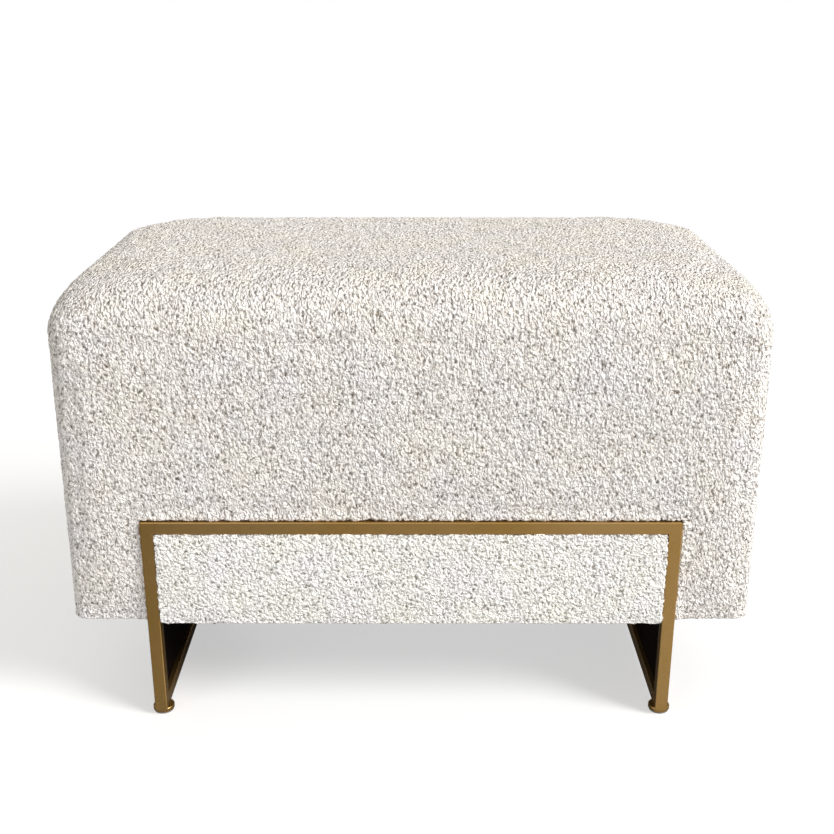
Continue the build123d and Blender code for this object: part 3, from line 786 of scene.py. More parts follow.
def lid_level(draw):
    """Quarter ellipse over the rounded edge, plus a quarter sine of crown up to its run."""
    round_part = np.sqrt(np.maximum(0, 1 - np.maximum(0, 1 - draw / edge_radius) ** 2))
    crown = np.sin(math.pi / 2 * np.minimum(draw / crown_run, 1))
    return shoulder + edge_rise * round_part + crown_rise * crown


lid_line = (lid_low.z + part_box("body_cover")[1].z) / 2
groove = ((2.2, 0.2), (0.7, 0.0), (0.4, 1.0), (0.15, 3.0))
hem_turn = (corner_radius - lid_hem_radius) / lid_hem
lid_rows = [(d * mm, lid_low.z, corner_radius - hem_turn * d * mm) for d in (19, 14, 9, 5)]
lid_rows += [(d * mm, lid_line + z * mm, corner_radius) for d, z in groove]
for turn in np.radians(np.linspace(0, 60, 13)):
    draw = edge_radius * (1 - math.cos(turn))
    lid_rows.append((draw, float(lid_level(draw)), float(lid_radius(draw))))
lid_patches = cushion_cage(half_size, lid_rows, lid_radius, lid_level, crown_run, cage_step)
lid_points, lid_quads, lid_triangles = sewn(lid_patches)
lid = add_piece("lid_cushion", lid_points, lid_quads, lid_triangles, finishes["boucle"])
face_outwards(lid)


def seam_share(places):
    """1 on a seam, falling off as a bell curve across it."""
    away = np.min([np.abs(places[:, 0] - x) for x in seam_xs], axis=0)
    return np.exp(-((away / seam_width) ** 2))


lid_places = points_of(lid.data)
lid_held = np.where(lid_places[:, 2] < lid_low.z + 1.5 * mm, 1.0, 0.0)
filled_out(lid, lid_held, slack=1.5 * mm, limit=3 * mm, pressure=4)
subdivided(lid, 2)


def lid_depth(places):
    """How deep the loops are: full on the outside, flatter under the board and at the seams."""
    under = smoothstep((places[:, 2] - lid_low.z) / (4 * mm))
    return loop_depth * (0.35 + 0.65 * under) * (1 - 0.25 * seam_share(places))


def rim_distance(places):
    """Distance from the side's outline seen from above, negative inside it."""
    past = np.maximum(np.abs(places[:, :2]) - (half_size - corner_radius), 0)
    return np.hypot(past[:, 0], past[:, 1]) - corner_radius


def line_wave(places):
    """How far the lid line wanders up and down at the outer edge; towards the hinges it runs straight."""
    flat = places * [1, 1, 0]
    wander = drift(flat, 9 * mm, 131) + 0.7 * drift(flat, 4 * mm, 132)
    near = np.exp(-(((places[:, 2] - lid_line) / (5 * mm)) ** 2))
    outer = smoothstep((rim_distance(places) + 3 * mm) / (2.5 * mm))
    front = 1 - smoothstep((places[:, 1] - 100 * mm) / (50 * mm))
    return wave_depth * wander * near * outer * front


places = points_of(lid.data)
waved = places + np.outer(line_wave(places), [0, 0, 1])
set_points(lid.data, waved - (seam_depth * seam_share(places))[:, None] * normals_of(lid.data))
raise_loops(lid, loop_sizes, lid_depth, salt=11)


# %% [markdown]
# ## The hinge reliefs
#
# At each hinge the cover is pressed flat under the leaf and round the barrel, so the metal lies in
# the cloth rather than in the air. Points above that level are moved down to it, or up on the lid.


# %% The hinge reliefs
pin_low, pin_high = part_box("right_hinge_pin")
leaf_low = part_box("right_hinge_body_leaf")[0]
hinge_z = (pin_low.z + pin_high.z) / 2
hinge_x = (pin_low.x + pin_high.x) / 2
hinge_half = (pin_high.x - pin_low.x) / 2
wall_face = 178 * mm
barrel_clear, leaf_clear = 3.9 * mm, 3.1 * mm


def press_at_hinges(piece, side):
    """Presses the cover clear of the hinge leaves and barrels; side is -1 on the box and +1 on the lid."""
    places = points_of(piece.data)
    across = np.abs(np.abs(places[:, 0]) - hinge_x) - hinge_half
    share = 1 - smoothstep((across - 0.5 * mm) / (2.5 * mm))
    share *= smoothstep((places[:, 1] - leaf_low.y + 2 * mm) / (1.5 * mm))
    level = np.where(places[:, 1] > wall_face, barrel_clear, leaf_clear)
    height = side * (places[:, 2] - hinge_z)
    places[:, 2] += side * np.maximum(level - height, 0) * share
    set_points(piece.data, places)
    print(f"{piece.name}: {int((share > 0.5).sum())} points near the hinges")


press_at_hinges(lid, 1)
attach(lid, "lid")
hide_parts("lid_cover", "lid_foam")


# %% [markdown]
# ## The box cover
#
# The box is wrapped in the same bouclé over thin wadding. The cloth is stapled under the bottom,
# goes up the walls, rolls over their top edge and is tucked down behind the lining. Front and rear
# it is cut out where the gold frame sits, and its edge is folded in round the frame. It is one
# sleeve: columns of points round the outline, and rows from the hem below to the hem inside. The
# squares inside the cut-outs are left out, and three strips of lip are sewn to their edge.

# %% The sleeve's rows and columns
body_low, body_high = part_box("body_cover")
bar_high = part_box("front_top_bar")[1]
notch_gap, tuck, lining_top = 0.9 * mm, 7 * mm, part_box("wall_lining")[1].z
notch_x, notch_top = bar_high.x + notch_gap, bar_high.z + notch_gap
lip_depths, lip_widths = (1.2 * mm, 2.6 * mm, 4.5 * mm, tuck), (0.3 * mm, 1.3 * mm, 1.3 * mm, 1.3 * mm)
inner_edge = 19.3 * mm
post_round, tight_round = 24.3 * mm, 15 * mm
core_half = np.array([body_high.x, body_high.y]) - post_round


def spaced(stops, step):
    """Numbers from the first stop to just before the last, evenly spaced between each two stops."""
    counts = [max(1, round(abs(b - a) / step)) for a, b in zip(stops, stops[1:])]
    runs = [np.linspace(a, b, count, endpoint=False) for a, b, count in zip(stops, stops[1:], counts)]
    return np.concatenate(runs)


def box_stations(step):
    """Core places, facings and side numbers of the columns round the box; arcs have side number -1."""
    long_run = spaced([-core_half[0], -notch_x, notch_x, core_half[0]], step)
    short_run = spaced([-core_half[1], core_half[1]], step)
    arc = spaced([0, math.pi / 2], step / post_round)
    core, facing, side = [], [], []
    for number, run in enumerate((long_run, short_run, long_run, short_run)):
        turn = number * math.pi / 2
        along, out = np.array([math.cos(turn), math.sin(turn)]), np.array([math.sin(turn), -math.cos(turn)])
        end = core_half[number % 2] * along + core_half[1 - number % 2] * out
        core += [run[:, None] * along + core_half[1 - number % 2] * out, np.tile(end, (len(arc), 1))]
        facing += [np.tile(out, (len(run), 1)), np.cos(arc)[:, None] * out + np.sin(arc)[:, None] * along]
        side += [np.full(len(run), number), np.full(len(arc), -1)]
    return np.concatenate(core), np.concatenate(facing), np.concatenate(side)


def box_row(inset, level):
    """One row of the sleeve at an inset from the outline.

    Up to the tuck the rows are parallel to the outline, and below the box their corner then stays
    as it is. The corner of the outline gets tighter from the lid line down to the bottom, and the
    core moves outwards to match, though only beyond the cut-outs.
    """
    inner = post_round - (inset if level > notch_top else min(inset, tuck))
    low = (lid_line - level) / (lid_line - body_low.z)
    radius = inner + (tight_round - post_round) * low * max(0, 1 - inset / tuck)
    moved = post_round - radius - inset
    core_x = np.interp(np.abs(core[:, 0]), [0, notch_x, core_half[0]], [0, notch_x, core_half[0] + moved])
    core_y = np.abs(core[:, 1]) * (core_half[1] + moved) / core_half[1]
    flat = np.sign(core) * np.column_stack([core_x, core_y]) + radius * facing
    flat[:, 0] -= loop_room * max(0, 1 - inset / tuck) * facing[:, 0]
    return np.column_stack([flat, np.full(len(flat), level)])


core, facing, side = box_stations(cage_step)
bottom_rows = [(d * mm, body_low.z) for d in (32, 26, 20, 14)]
edge_rows = [(tuck, body_low.z), (2.2 * mm, body_low.z - 0.8 * mm), (0.6 * mm, body_low.z - 0.4 * mm)]
wall_stops = [body_low.z + 0.8 * mm, notch_top, lid_line - 5 * mm]
wall_rows = [(0.0, z) for z in spaced(wall_stops, cage_step)]
top_rows = [(d * mm, lid_line - z * mm) for d, z in groove[::-1]] + [(7 * mm, body_high.z)]
top_rows += [(13 * mm, body_high.z), (inner_edge - 1.2 * mm, body_high.z)]
top_rows += [(inner_edge, body_high.z - 0.8 * mm)]
all_rows = bottom_rows + edge_rows + wall_rows + top_rows
sleeve = np.stack([box_row(*row) for row in all_rows])
print("sleeve:", sleeve.shape[0], "rows of", sleeve.shape[1])


# %% Cut-outs, lips and corner caps
def notch_columns(number):
    """Column numbers of the cut-out on the given long side, in order."""
    return np.flatnonzero((side == number) & (np.abs(core[:, 0]) < notch_x + 0.01 * mm))


def strip(rows):
    """A patch from rows of points of equal length."""
    return np.concatenate(rows), grid_quads(len(rows), len(rows[0]))


first_row = len(bottom_rows)
last_row = len(bottom_rows + edge_rows) + int(np.argmin([abs(z - notch_top) for _, z in wall_rows]))
row_count, column_count = sleeve.shape[:2]
quads = grid_quads(row_count, column_count, closed=True).reshape(row_count - 1, column_count, 4)
keep = np.ones((row_count - 1, column_count), bool)
patches = []
for number in (0, 2):
    columns = notch_columns(number)
    keep[first_row:last_row, columns[:-1]] = False
    lip = np.concatenate([
        sleeve[first_row:last_row, columns[0]],
        sleeve[last_row, columns],
        sleeve[first_row:last_row, columns[-1]][::-1],
    ])
    outside = np.sign(lip[0, 1])
    opens = np.zeros_like(lip)
    opens[:, 0] = np.sign(lip[:, 0]) * (lip[:, 2] < notch_top - 0.1 * mm)
    opens[:, 2] = lip[:, 2] > notch_top - 0.1 * mm
    deeper = [lip]
    for depth, wider in zip(lip_depths, lip_widths):
        inner = lip + wider * opens
        inner[:, 1] = outside * np.minimum(np.abs(lip[:, 1]), half_size[1] - depth)
        deeper.append(inner)
    patches.append(strip(deeper))

arc_starts = np.flatnonzero((side == -1) & (np.roll(side, 1) != -1))
arc_cells = int((side == -1).sum() / 4)
tucked = []
for start in arc_starts:
    fan = np.arange(start, start + arc_cells + 1) % column_count
    hub = np.column_stack([core[fan], sleeve[-1, fan, 2]])
    rays = [sleeve[-1, fan] * (1 - share) + hub * share for share in (0, 0.33, 0.66, 1)]
    patches.append(strip(rays))
    run_cells = (np.roll(side, -fan[-1]) == side[fan[-1]]).argmin()
    straight = np.arange(fan[-1], fan[-1] + run_cells + 1) % column_count
    tucked += [np.stack([ray[0] for ray in rays]), np.stack([ray[-1] for ray in rays])[::-1]]
    tucked.append(sleeve[-1, straight])
rim = np.concatenate(tucked)
below = [rim - [0, 0, drop] for drop in (0, 3 * mm, rim[0, 2] - lining_top + 4 * mm)]
patches.append(strip(below))
patches.insert(0, (sleeve.reshape(-1, 3), quads[keep]))
box_points, box_quads, box_triangles = sewn(patches)
box = add_piece("box_cover", box_points, box_quads, box_triangles, finishes["boucle"])
face_outwards(box)
print("box cage:", len(box_points), "points,", len(box_triangles), "triangles")


# %% [markdown]
# ## Fullness, pulls and loops of the box cover
#
# The wadding fills the cloth between its held edges. Where the cloth turns the corners of a
# cut-out it pulls, so short shallow folds run away from them, and one pucker sits above the bar.
# The two seams of the lid go on down the front and fade out above the frame.

# %% Fullness, pulls and loops of the box cover
pulls = (
    ((-272, 222), (-279, 300), 5.0, 0.9),
    ((272, 222), (296, 262), 4.5, 0.9),
    ((272, 224), (284, 300), 6.0, 0.7),
    ((-40, 222), (-36, 268), 5.0, 0.9),
    ((-62, 222), (-70, 252), 4.5, 0.5),
    ((120, 222), (126, 250), 5.0, 0.5),
)
seam_foot, seam_fade = 255 * mm, 60 * mm
ragged_depth, edge_swell = 1.4 * mm, 2.6 * mm


def pull_depth(places):
    """Depth of the pulls: a bell curve across each line, fading along it; the rear repeats the front."""
    depth = np.zeros(len(places))
    flat = np.column_stack([places[:, 0] * np.where(places[:, 1] < 0, 1, -1), places[:, 2]])
    for start, end, width, deep in pulls:
        start, run = np.array(start) * mm, (np.array(end) - start) * mm
        along = ((flat - start) @ run) / (run @ run)
        off = np.abs((flat - start) @ np.array([-run[1], run[0]])) / np.linalg.norm(run)
        fade = smoothstep((along + 0.1) / 0.15) * (1 - smoothstep(along))
        depth += deep * mm * np.exp(-((off / (width * mm)) ** 2)) * fade
    return depth * (np.abs(places[:, 1]) > half_size[1] - 4 * mm)


def box_depth(places):
    """How deep the loops are: full on the walls, flat where the cloth is tucked in or stapled."""
    outside = smoothstep((rim_distance(places) + 7 * mm) / (5 * mm))
    return loop_depth * (0.3 + 0.7 * outside)


def ragged_edge(places):
    """Loops hang over the edge of the cut-outs, down at the bar and sideways at the legs.

    The cloth also swells forwards there, by swell * exp(-(distance to the cut-out / 7 mm)^2).
    """
    hang = ragged_depth * (0.1 + 0.9 * drift(places, 3.6 * mm, 141))
    aside = np.abs(places[:, 0]) - notch_x
    above = places[:, 2] - notch_top
    over_bar = np.exp(-((above / (2.5 * mm)) ** 2)) * (aside < -2 * mm)
    beside = np.exp(-((aside / (2.5 * mm)) ** 2)) * (above < -2 * mm)
    at_face = smoothstep((rim_distance(places) + 4 * mm) / (3 * mm))
    apart = np.hypot(np.maximum(aside, 0), np.maximum(above, 0))
    forward = np.sign(places[:, 1]) * edge_swell * np.exp(-((apart / (7 * mm)) ** 2))
    moves = np.column_stack([-np.sign(places[:, 0]) * beside * hang, forward, -over_bar * hang])
    return moves * at_face[:, None]


box_places = points_of(box.data)
at_hem = (box_places[:, 2] < body_low.z + 1.5 * mm) | (box_places[:, 2] > body_high.z - 1.5 * mm)
in_notch = (np.abs(box_places[:, 0]) < notch_x + 0.1 * mm) & (box_places[:, 2] < notch_top + 0.1 * mm)
inside_box = np.abs(box_places[:, 1]) < wall_face - 10 * mm
inside_box &= np.abs(box_places[:, 0]) < half_size[0] - 15 * mm
box_held = np.where(at_hem | in_notch | inside_box, 1.0, 0.0)
filled_out(box, box_held, slack=1.2 * mm, limit=2.2 * mm, pressure=4)
subdivided(box, 2)
places = points_of(box.data)
waved = places + np.outer(line_wave(places), [0, 0, 1]) + ragged_edge(places)
seam_here = seam_share(places) * smoothstep((places[:, 2] - seam_foot) / seam_fade)
sunk = seam_depth * seam_here + pull_depth(places)
set_points(box.data, waved - sunk[:, None] * normals_of(box.data))
raise_loops(box, loop_sizes, box_depth, salt=11)
press_at_hinges(box, -1)
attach(box, "base")
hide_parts("body_cover", "body_wadding")


# %% [markdown]
# ## The insets
#
# Between the legs, front and rear, a bouclé panel fills the frame and stands a little proud of it,
# with the loops of its edge ragged against the tube. Each is a thin pad on a board: a flat cushion
# built on the plane and then stood upright.


# %% The insets
inset_crown, inset_round, inset_lift = 1 * mm, 0.8 * mm, 0.4 * mm
inset_run, inset_corner = 45 * mm, 3 * mm
inset_ragged = 1.4 * mm


def inset_cushion(name, node, outward, salt):
    """A thin cushion in the plane of the frame; outward is -1 at the front and +1 at the rear."""
    low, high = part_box(node)
    half = np.array([high.x - low.x, high.z - low.z - inset_lift]) / 2
    middle = (low.z + inset_lift + high.z) / 2
    back = min(abs(low.y), abs(high.y))
    rise = max(abs(low.y), abs(high.y)) - back - inset_crown

    def radius_of(draw):
        return np.maximum(inset_corner - draw, 0.6 * mm)

    def level_of(draw):
        face = rise + 1.5 * inset_round
        return face + inset_crown * np.sin(math.pi / 2 * np.minimum(draw / inset_run, 1))

    rows = [(0.0, level, inset_corner) for level in (0.0, rise / 2, rise - 0.2 * mm)]
    for turn in np.radians(np.linspace(-30, 90, 5)):
        draw = inset_round * (1 - math.cos(turn))
        rows.append((draw, rise + inset_round * (0.5 + math.sin(turn)), float(radius_of(draw))))
    points, quads, triangles = sewn(cushion_cage(half, rows, radius_of, level_of, inset_run, 4.5 * mm))
    stood = np.column_stack([points[:, 0], outward * (back + points[:, 2]), points[:, 1] + middle])
    pad = add_piece(name, stood, quads, triangles, finishes["inset_boucle"])
    face_outwards(pad)
    held = np.where(points[:, 2] < rise - inset_round, 1.0, 0.0)
    filled_out(pad, held, slack=0.8 * mm, limit=1.2 * mm, pressure=4)
    subdivided(pad, 2)
    places = points_of(pad.data)
    rim = (np.abs(places - [0, 0, middle])[:, [0, 2]] - half).max(1)
    ragged = inset_ragged * drift(places, 3.4 * mm, salt + 12) * smoothstep((rim + 3 * mm) / (2.5 * mm))
    set_points(pad.data, places + ragged[:, None] * normals_of(pad.data) * [1, 0, 1])
    raise_loops(pad, inset_loop_sizes, lambda places: np.full(len(places), loop_depth), salt)
    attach(pad, "base")
    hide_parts(node)


inset_cushion("front_inset", "front_inset_pad", -1, salt=51)
inset_cushion("rear_inset", "rear_inset_pad", 1, salt=71)


# %% [markdown]
# ## The linings
#
# Inside, a grey cloth covers the walls and the floor of the box and the underside of the lid, and
# a black dust cover closes the bottom. Each is a thin sheet with a UV map in metres, so the weave
# has its real size. The wall lining is stapled at its hem and lies against the boards with small
# wrinkles, which only ever stand off the wall, and none near the corners and the stay plates.


# %% Cloth sheets
def add_cloth(name, points, quads, flat, finish, thickness):
    """A sheet with the given UV places in metres, thickened away from its outward side."""
    piece = add_piece(name, points, quads, None, finishes[finish])
    corner_points = np.empty(len(piece.data.loops), np.int32)
    piece.data.loops.foreach_get("vertex_index", corner_points)
    uv = piece.data.uv_layers.new(name="flat")
    uv.data.foreach_set("uv", flat[corner_points].astype(np.float32).ravel())
    thick = piece.modifiers.new("thickness", "SOLIDIFY")
    thick.thickness = thickness
    thick.offset = -1
    return piece


def finish_cloth(piece, body, node):
    """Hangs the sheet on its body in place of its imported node."""
    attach(piece, body)
    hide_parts(node)


# %% Wall lining
wall_low, wall_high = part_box("wall_lining")
lining_gap = 0.7 * mm
reach_x, reach_y = wall_high.x - lining_gap, wall_high.y - lining_gap
near_x, near_y = reach_x - 5 * mm, reach_y - 5 * mm
quarter = [(reach_x, near_y), (near_x, near_y), (near_x, reach_y)]
corners = quarter + [(-x, y) for x, y in quarter[::-1]]
corners = np.array(corners + [(-x, -y) for x, y in corners])
runs, inwards = [], []
for start, end in zip(corners, np.roll(corners, -1, axis=0)):
    length = np.linalg.norm(end - start)
    away = spaced([0, 2 * mm, length - 2 * mm, length], 8 * mm)
    run = (end - start) / length
    runs.append(start + away[:, None] * run)
    inwards.append(np.tile([-run[1], run[0]], (len(away), 1)))
path = np.concatenate(runs + [corners[:1]])
inward = np.concatenate(inwards + [inwards[0][:1]])
walked = np.concatenate([[0], np.cumsum(np.linalg.norm(np.diff(path, axis=0), axis=1))])
hem_levels = wall_high.z - np.array([13, 12, 6, 1, 0]) * mm
levels = np.concatenate([spaced([wall_low.z + 0.3 * mm, wall_high.z - 14 * mm], 9 * mm), hem_levels])
flat = np.stack(np.meshgrid(walked, levels, indexing="ij"), -1).reshape(-1, 2)
noise_at = np.column_stack([flat[:, 0], 0.4 * flat[:, 1], np.zeros(len(flat))])
corner_walks = [walked[np.argmin(np.linalg.norm(path - corner, axis=1))] for corner in corners]
corner_away = np.min([np.abs(flat[:, 0] - walk) for walk in corner_walks], axis=0)
plate_low, plate_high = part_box("right_stay_plate")
plate_y, plate_z = (plate_low.y + plate_high.y) / 2, (plate_low.z + plate_high.z) / 2
place_y = np.repeat(path[:, 1], len(levels))
plate_away = np.hypot(place_y - plate_y, flat[:, 1] - plate_z)
loose = smoothstep((corner_away - 4 * mm) / (18 * mm)) * smoothstep((plate_away - 22 * mm) / (20 * mm))
hem = smoothstep((flat[:, 1] - wall_high.z + 13 * mm) / (1 * mm))
stand = 0.9 * mm * (0.5 + 0.5 * drift(noise_at, 45 * mm, 91)) * loose * (1 - hem) + 0.25 * mm * hem
spread = np.repeat(path, len(levels), axis=0) + stand[:, None] * np.repeat(inward, len(levels), axis=0)
lining_points = np.column_stack([spread, flat[:, 1]])
quads = grid_quads(len(path), len(levels))
wall_lining = add_cloth("wall_lining_cloth", lining_points, quads, flat, "lining", 0.5 * mm)
finish_cloth(wall_lining, "base", "wall_lining")
print("wall lining:", len(lining_points), "points,", round(float(walked[-1]), 3), "m round")


# %% Floor lining
floor_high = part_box("floor_lining")[1]
floor_x = spaced([-floor_high.x, -near_x, near_x, floor_high.x], 9 * mm)
floor_x = np.append(floor_x, floor_high.x)
floor_y = np.append(spaced([-floor_high.y, -near_y, near_y, floor_high.y], 9 * mm), floor_high.y)
flat = np.stack(np.meshgrid(floor_x, floor_y, indexing="ij"), -1).reshape(-1, 2)
quads = grid_quads(len(floor_x), len(floor_y))
middle = np.abs(flat[quads].mean(1))
quads = quads[(middle[:, 0] < near_x) | (middle[:, 1] < near_y)]
used, numbers = np.unique(quads, return_inverse=True)
flat, quads = flat[used], numbers.reshape(-1, 4)
dip = 0.35 * mm * (0.5 + 0.5 * drift(np.column_stack([flat, np.zeros(len(flat))]), 60 * mm, 95))
floor_places = np.column_stack([flat, floor_high.z - dip])
floor_cloth = add_cloth("floor_lining_cloth", floor_places, quads, flat, "lining", 2.4 * mm)
finish_cloth(floor_cloth, "base", "floor_lining")
print("floor lining:", len(flat), "points")


# %% [markdown]
# ## Lid lining and dust cover
#
# Both are cut to a rounded rectangle, with the edge folded under and stapled every few
# centimetres. The fold makes a band round the edge that stands slightly proud, and between the
# staples the cloth sags by a hair.


# %% Lid lining and dust cover
sheet_corner, fold, fold_width = 17 * mm, 0.3 * mm, 13 * mm
sag, sag_run = 0.2 * mm, 60 * mm
wire_half = np.array([(3.8, -0.3), (4.6, -0.15), (5, 0.3), (5, 2.2)]) * mm
wire_sides, wire_thick, wire_wide = 6, 0.3 * mm, 0.6 * mm


def stapled_sheet(name, node, slot, salt):
    """A cloth plate under its node, seen from below: a rim, a proud fold and a faintly wavy middle."""
    low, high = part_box(node)
    half = np.array([high.x, high.y])

    def level_of(draw):
        return low.z + 0.05 * mm + fold * smoothstep((draw - fold_width) / (1.5 * mm))

    def radius_of(draw):
        return np.maximum(sheet_corner - draw, 3 * mm)

    rows = [(0.0, high.z - 0.2 * mm, sheet_corner), (0.0, low.z + 0.3 * mm, sheet_corner)]
    for draw in np.array([0.4, 4, 9, 12.8, 13.6, 14.6, 17]) * mm:
        rows.append((float(draw), float(level_of(draw)), float(radius_of(draw))))
    points, quads, triangles = sewn(cushion_cage(half, rows, radius_of, level_of, sag_run, 9 * mm))
    inner = smoothstep((draw_in_at(points[:, :2], half, radius_of, sag_run) - fold_width) / (25 * mm))
    points[:, 2] += sag * inner * (0.5 + 0.5 * drift(points * [1, 1, 0], 55 * mm, salt))
    sheet = add_cloth(name, points, quads, points[:, :2], slot, 0.3 * mm)
    if normals_of(sheet.data)[:, 2].mean() > 0:
        sheet.data.flip_normals()
    print(f"{name}: {len(points)} points")
    return sheet, half, low.z


def staple_row(name, half, level, step, clear_of):
    """Staples along the fold: half-round wires with both ends bent up into the board."""
    inset = half - 6.5 * mm
    spots = []
    for axis in (0, 1):
        run = np.arange(-inset[axis] + 35 * mm, inset[axis] - 30 * mm, step)
        for sign in (-1, 1):
            place = np.zeros((len(run), 3))
            place[:, axis] = run
            place[:, 1 - axis] = sign * inset[1 - axis]
            place[:, 2] = axis
            spots.append(place)
    spots = np.concatenate(spots)
    for low, high in clear_of:
        near = (spots[:, 0] > low.x - 8 * mm) & (spots[:, 0] < high.x + 8 * mm)
        near &= (spots[:, 1] > low.y - 8 * mm) & (spots[:, 1] < high.y + 8 * mm)
        spots = spots[~near]
    wire = np.concatenate([wire_half[::-1] * [-1, 1], wire_half])
    ring = np.linspace(0, 2 * math.pi, wire_sides, endpoint=False)
    tangent = np.gradient(wire, axis=0)
    tangent /= np.linalg.norm(tangent, axis=1)[:, None]
    side_way = np.column_stack([-tangent[:, 1], tangent[:, 0]])
    local = np.zeros((len(wire), wire_sides, 3))
    local[..., 0] = wire[:, None, 0] + wire_thick * np.cos(ring) * side_way[:, None, 0]
    local[..., 2] = wire[:, None, 1] + wire_thick * np.cos(ring) * side_way[:, None, 1]
    local[..., 1] = wire_wide * np.sin(ring)
    local = local.reshape(-1, 3)
    turned = np.where(spots[:, None, 2:3] > 0, local[None][:, :, [1, 0, 2]], local[None])
    points = turned + np.column_stack([spots[:, :2], np.full(len(spots), level)])[:, None]
    one = grid_quads(len(wire), wire_sides, closed=True)
    quads = (one[None] + (np.arange(len(spots)) * len(local))[:, None, None]).reshape(-1, 4)
    staples = add_piece(name, points.reshape(-1, 3), quads, None, finishes["zinc_steel"])
    face_outwards(staples)
    print(f"{name}: {len(spots)} staples")
    return staples


lid_lining, lining_half, lining_level = stapled_sheet("lid_lining_cloth", "lid_lining", "lining", 101)
brackets = [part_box(f"{hand}_stay_lid_bracket") for hand in ("left", "right")]
lid_staples = staple_row("lid_staples", lining_half, lining_level, 45 * mm, brackets)
finish_cloth(lid_lining, "lid", "lid_lining")
dust_cover, dust_half, dust_level = stapled_sheet("dust_cover_cloth", "dust_cover", "dust_cover", 111)
rails = [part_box(f"{hand}_support_rail") for hand in ("left", "right")]
dust_staples = staple_row("dust_staples", dust_half, dust_level, 55 * mm, rails)
finish_cloth(dust_cover, "base", "dust_cover")
for staples, body in ((lid_staples, "lid"), (dust_staples, "base")):
    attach(staples, body)
for sheet, half, staples, board in (
    (lid_lining, lining_half, lid_staples, "lid_board"),
    (dust_cover, dust_half, dust_staples, "bottom_panel"),
):
    size = 2 * float(half[0]), 2 * float(half[1])


# %% [markdown]
# ## Floor and light
#
# The picture shows the ottoman on white, so the floor and the world are white to the camera. For
# all other rays they are greyer, so that they don't flood the seat with light from below, and the
# world is warmer above and cooler low down, as a room with pale walls is. The gold mirrors a floor
# that carries painted light: painted shade that makes it dark on the left and pale on the right, a
# painted shadow under the box, and a white patch in front of the left leg for a painted highlight
# on the leg's inner edge; it also mirrors a world that is darker behind. Near the ottoman the floor
# is a plain surface that takes its shadow, and further off it turns into an even white, so there is
# no horizon. The key lamp stands high on the right and rakes across the loops, a faint one fills in
# from the left, and one behind lights the back without being mirrored.


# %% Floor and light
def ray_kinds(tree):
    """Two masks: rays that show the floor and world themselves, and mirror rays."""
    path = add_node(tree, "ShaderNodeLightPath")
    shown = add_node(tree, "ShaderNodeMath", operation="MAXIMUM")
    link(tree, path.outputs["Is Camera Ray"], shown.inputs[0])
    link(tree, path.outputs["Is Transmission Ray"], shown.inputs[1])
    return shown.outputs["Value"], path.outputs["Is Glossy Ray"]


def picked(tree, factor, plain, shown):
    """A colour that is plain where the factor is 0 and shown where it is 1; either may be a socket."""
    mix = add_node(tree, "ShaderNodeMix", data_type="RGBA")
    for socket, value in (("A", plain), ("B", shown)):
        if isinstance(value, bpy.types.NodeSocket):
            link(tree, value, mix.inputs[socket])
        else:
            mix.inputs[socket].default_value = value
    link(tree, factor, mix.inputs["Factor"])
    return mix.outputs["Result"]


def patch(tree, split, x_range, y_range, soft):
    """A mask that is 1 over a rectangle of the floor and falls to 0 over the soft width around it."""
    both = add_node(tree, "ShaderNodeMath", operation="MULTIPLY")
    for slot, (axis, (low, high)) in enumerate((("X", x_range), ("Y", y_range))):
        half = (high - low) / 2
        offset = add_node(tree, "ShaderNodeMath", {1: (low + high) / 2}, operation="SUBTRACT")
        size = add_node(tree, "ShaderNodeMath", operation="ABSOLUTE")
        fall = add_node(
            tree,
            "ShaderNodeMapRange",
            {"From Min": half, "From Max": half + soft, "To Min": 1.0, "To Max": 0.0},
        )
        link(tree, split.outputs[axis], offset.inputs[0])
        link(tree, offset.outputs["Value"], size.inputs[0])
        link(tree, size.outputs["Value"], fall.inputs["Value"])
        link(tree, fall.outputs["Result"], both.inputs[slot])
    return both.outputs["Value"]


floor_half, near_floor, far_floor, lifted = 20.0, 0.45, 1.3, 0.5
shadow_patch_x, shadow_patch_y = (-0.34, 0.34), (-0.18, 0.18)
highlight_patch_x, highlight_patch_y = (-0.24, -0.02), (-0.3, -0.2)
floor_points = np.array([(-1, -1, 0), (1, -1, 0), (1, 1, 0), (-1, 1, 0)]) * floor_half
floor_finish, tree, floor_shader = start_finish("floor", {"Roughness": 0.9, "Specular IOR Level": 0.0})
shown, mirrored = ray_kinds(tree)
place = add_node(tree, "ShaderNodeTexCoord")
split = add_node(tree, "ShaderNodeSeparateXYZ")
away = add_node(tree, "ShaderNodeVectorMath", operation="LENGTH")
# Painted shade for mirror rays: the floor's colour runs from dark on the left to pale on the right, so the
# gold is darker on its left.
across = add_node(
    tree,
    "ShaderNodeMapRange",
    {"From Min": -0.8, "From Max": 0.9, "To Min": 0.08, "To Max": 0.8},
)
link(tree, place.outputs["Object"], split.inputs["Vector"])
link(tree, split.outputs["X"], across.inputs["Value"])
link(tree, place.outputs["Object"], away.inputs[0])
near_colour = picked(tree, shown, rgb(0.6, 0.6, 0.6), rgb(0.97, 0.97, 0.97))
# Painted shadow: mirror rays see the floor under the box at a dark 0.15, standing in for the box's shadow.
painted_shadow_mask = patch(tree, split, shadow_patch_x, shadow_patch_y, 0.02)
painted_mirror_floor = picked(tree, painted_shadow_mask, across.outputs["Result"], rgb(0.15, 0.15, 0.15))
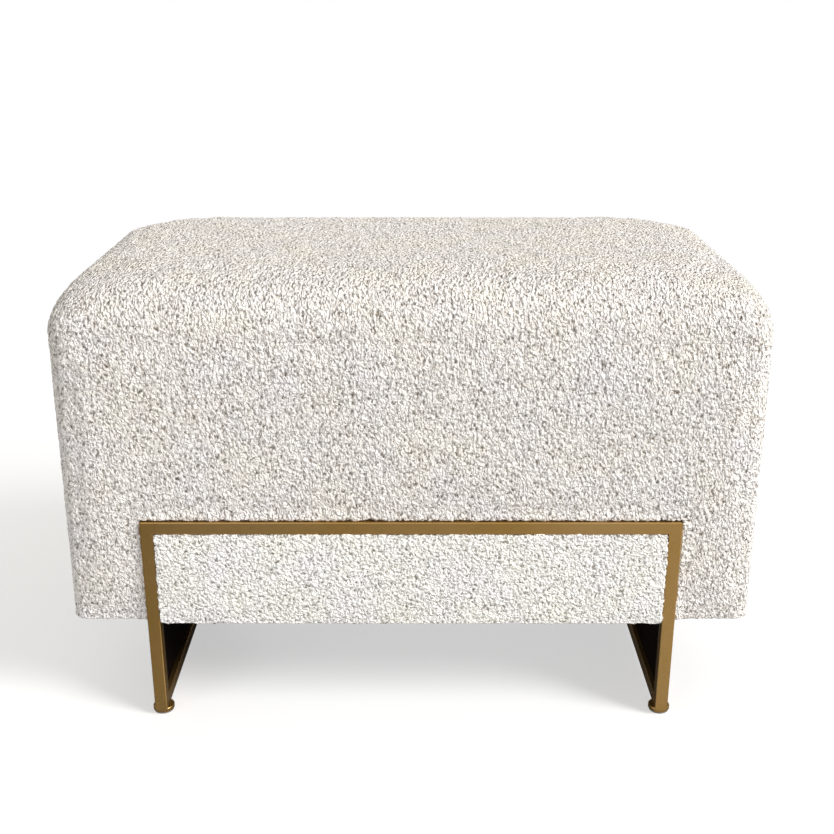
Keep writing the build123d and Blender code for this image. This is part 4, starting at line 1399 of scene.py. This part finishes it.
# Painted highlight: a white patch in front of the left leg, seen only by mirror rays, puts a bright line on
# the leg's inner edge.
painted_highlight_mask = patch(tree, split, highlight_patch_x, highlight_patch_y, 0.01)
painted_mirror_floor = picked(tree, painted_highlight_mask, painted_mirror_floor, rgb(1, 1, 1))
link(tree, picked(tree, mirrored, near_colour, painted_mirror_floor), floor_shader.inputs["Base Color"])
far = add_node(
    tree,
    "ShaderNodeMapRange",
    {"From Min": near_floor, "From Max": far_floor},
    interpolation_type="SMOOTHSTEP",
)
least = add_node(tree, "ShaderNodeMath", {1: lifted}, operation="MULTIPLY")
link(tree, shown, least.inputs[0])
link(tree, least.outputs["Value"], far.inputs["To Min"])
seen = add_node(tree, "ShaderNodeMath", operation="MAXIMUM")
share = add_node(tree, "ShaderNodeMath", operation="MULTIPLY")
white = add_node(tree, "ShaderNodeEmission", {"Strength": 1.0})
blend = add_node(tree, "ShaderNodeMixShader")
link(tree, shown, seen.inputs[0])
link(tree, mirrored, seen.inputs[1])
link(tree, away.outputs["Value"], far.inputs["Value"])
link(tree, far.outputs["Result"], share.inputs[0])
link(tree, seen.outputs["Value"], share.inputs[1])
# Seen in mirrors, the far white floor carries the same painted shade from dark left to pale right.
link(tree, picked(tree, mirrored, rgb(1, 1, 1), across.outputs["Result"]), white.inputs["Color"])
link(tree, share.outputs["Value"], blend.inputs["Fac"])
link(tree, floor_shader.outputs["BSDF"], blend.inputs[1])
link(tree, white.outputs["Emission"], blend.inputs[2])
link(tree, blend.outputs["Shader"], tree.nodes["Material Output"].inputs["Surface"])
floor = add_piece("floor", floor_points, np.array([[0, 1, 2, 3]]), None, floor_finish)
floor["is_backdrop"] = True

world = bpy.data.worlds.new("studio")
scene.world = world
world.use_nodes = True
tree = world.node_tree
sky = tree.nodes["Background"]
shown, mirrored = ray_kinds(tree)
direction = add_node(tree, "ShaderNodeTexCoord")
sides = add_node(tree, "ShaderNodeSeparateXYZ")
low_room, high_room = rgb(0.342, 0.359, 0.415), rgb(0.39, 0.359, 0.26)
room = picked(tree, sides.outputs["Z"], low_room, high_room)
sky_colour = picked(tree, shown, room, rgb(1, 1, 1))
behind = add_node(
    tree,
    "ShaderNodeMapRange",
    {"From Min": 0.0, "From Max": 0.8, "To Min": 1.0, "To Max": 0.2},
)
link(tree, direction.outputs["Generated"], sides.inputs["Vector"])
link(tree, sides.outputs["Y"], behind.inputs["Value"])
link(tree, picked(tree, mirrored, sky_colour, behind.outputs["Result"]), sky.inputs["Color"])

aim = Vector((0.0, 0.0, 0.25))
for name, place, size, power in (
    ("key", (7.8, -3.9, 6.1), 4.5, 1400),
    ("fill", (-3.0, -3.4, 1.8), 2.5, 48),
    ("back", (-1.0, 6.0, 1.8), 3.0, 200),
):
    lamp = bpy.data.lights.new(name, "AREA")
    lamp.shape = "DISK"
    lamp.size = size
    lamp.energy = power
    stand = bpy.data.objects.new(name, lamp)
    stand.location = place
    stand.visible_glossy = name != "back"
    stand.rotation_euler = (aim - Vector(place)).to_track_quat("-Z", "Y").to_euler()
    scene.collection.objects.link(stand)


# %% [markdown]
# ## Sizes
#
# Last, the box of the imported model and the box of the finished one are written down, to see that
# the upholstery has kept to the frame's size.

# %% Sizes
boxes = {"packed": cad_box, "finished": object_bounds()}
for name, (low, high) in boxes.items():
    print(f"{name} size in mm:", [round(value / mm, 1) for value in high - low])
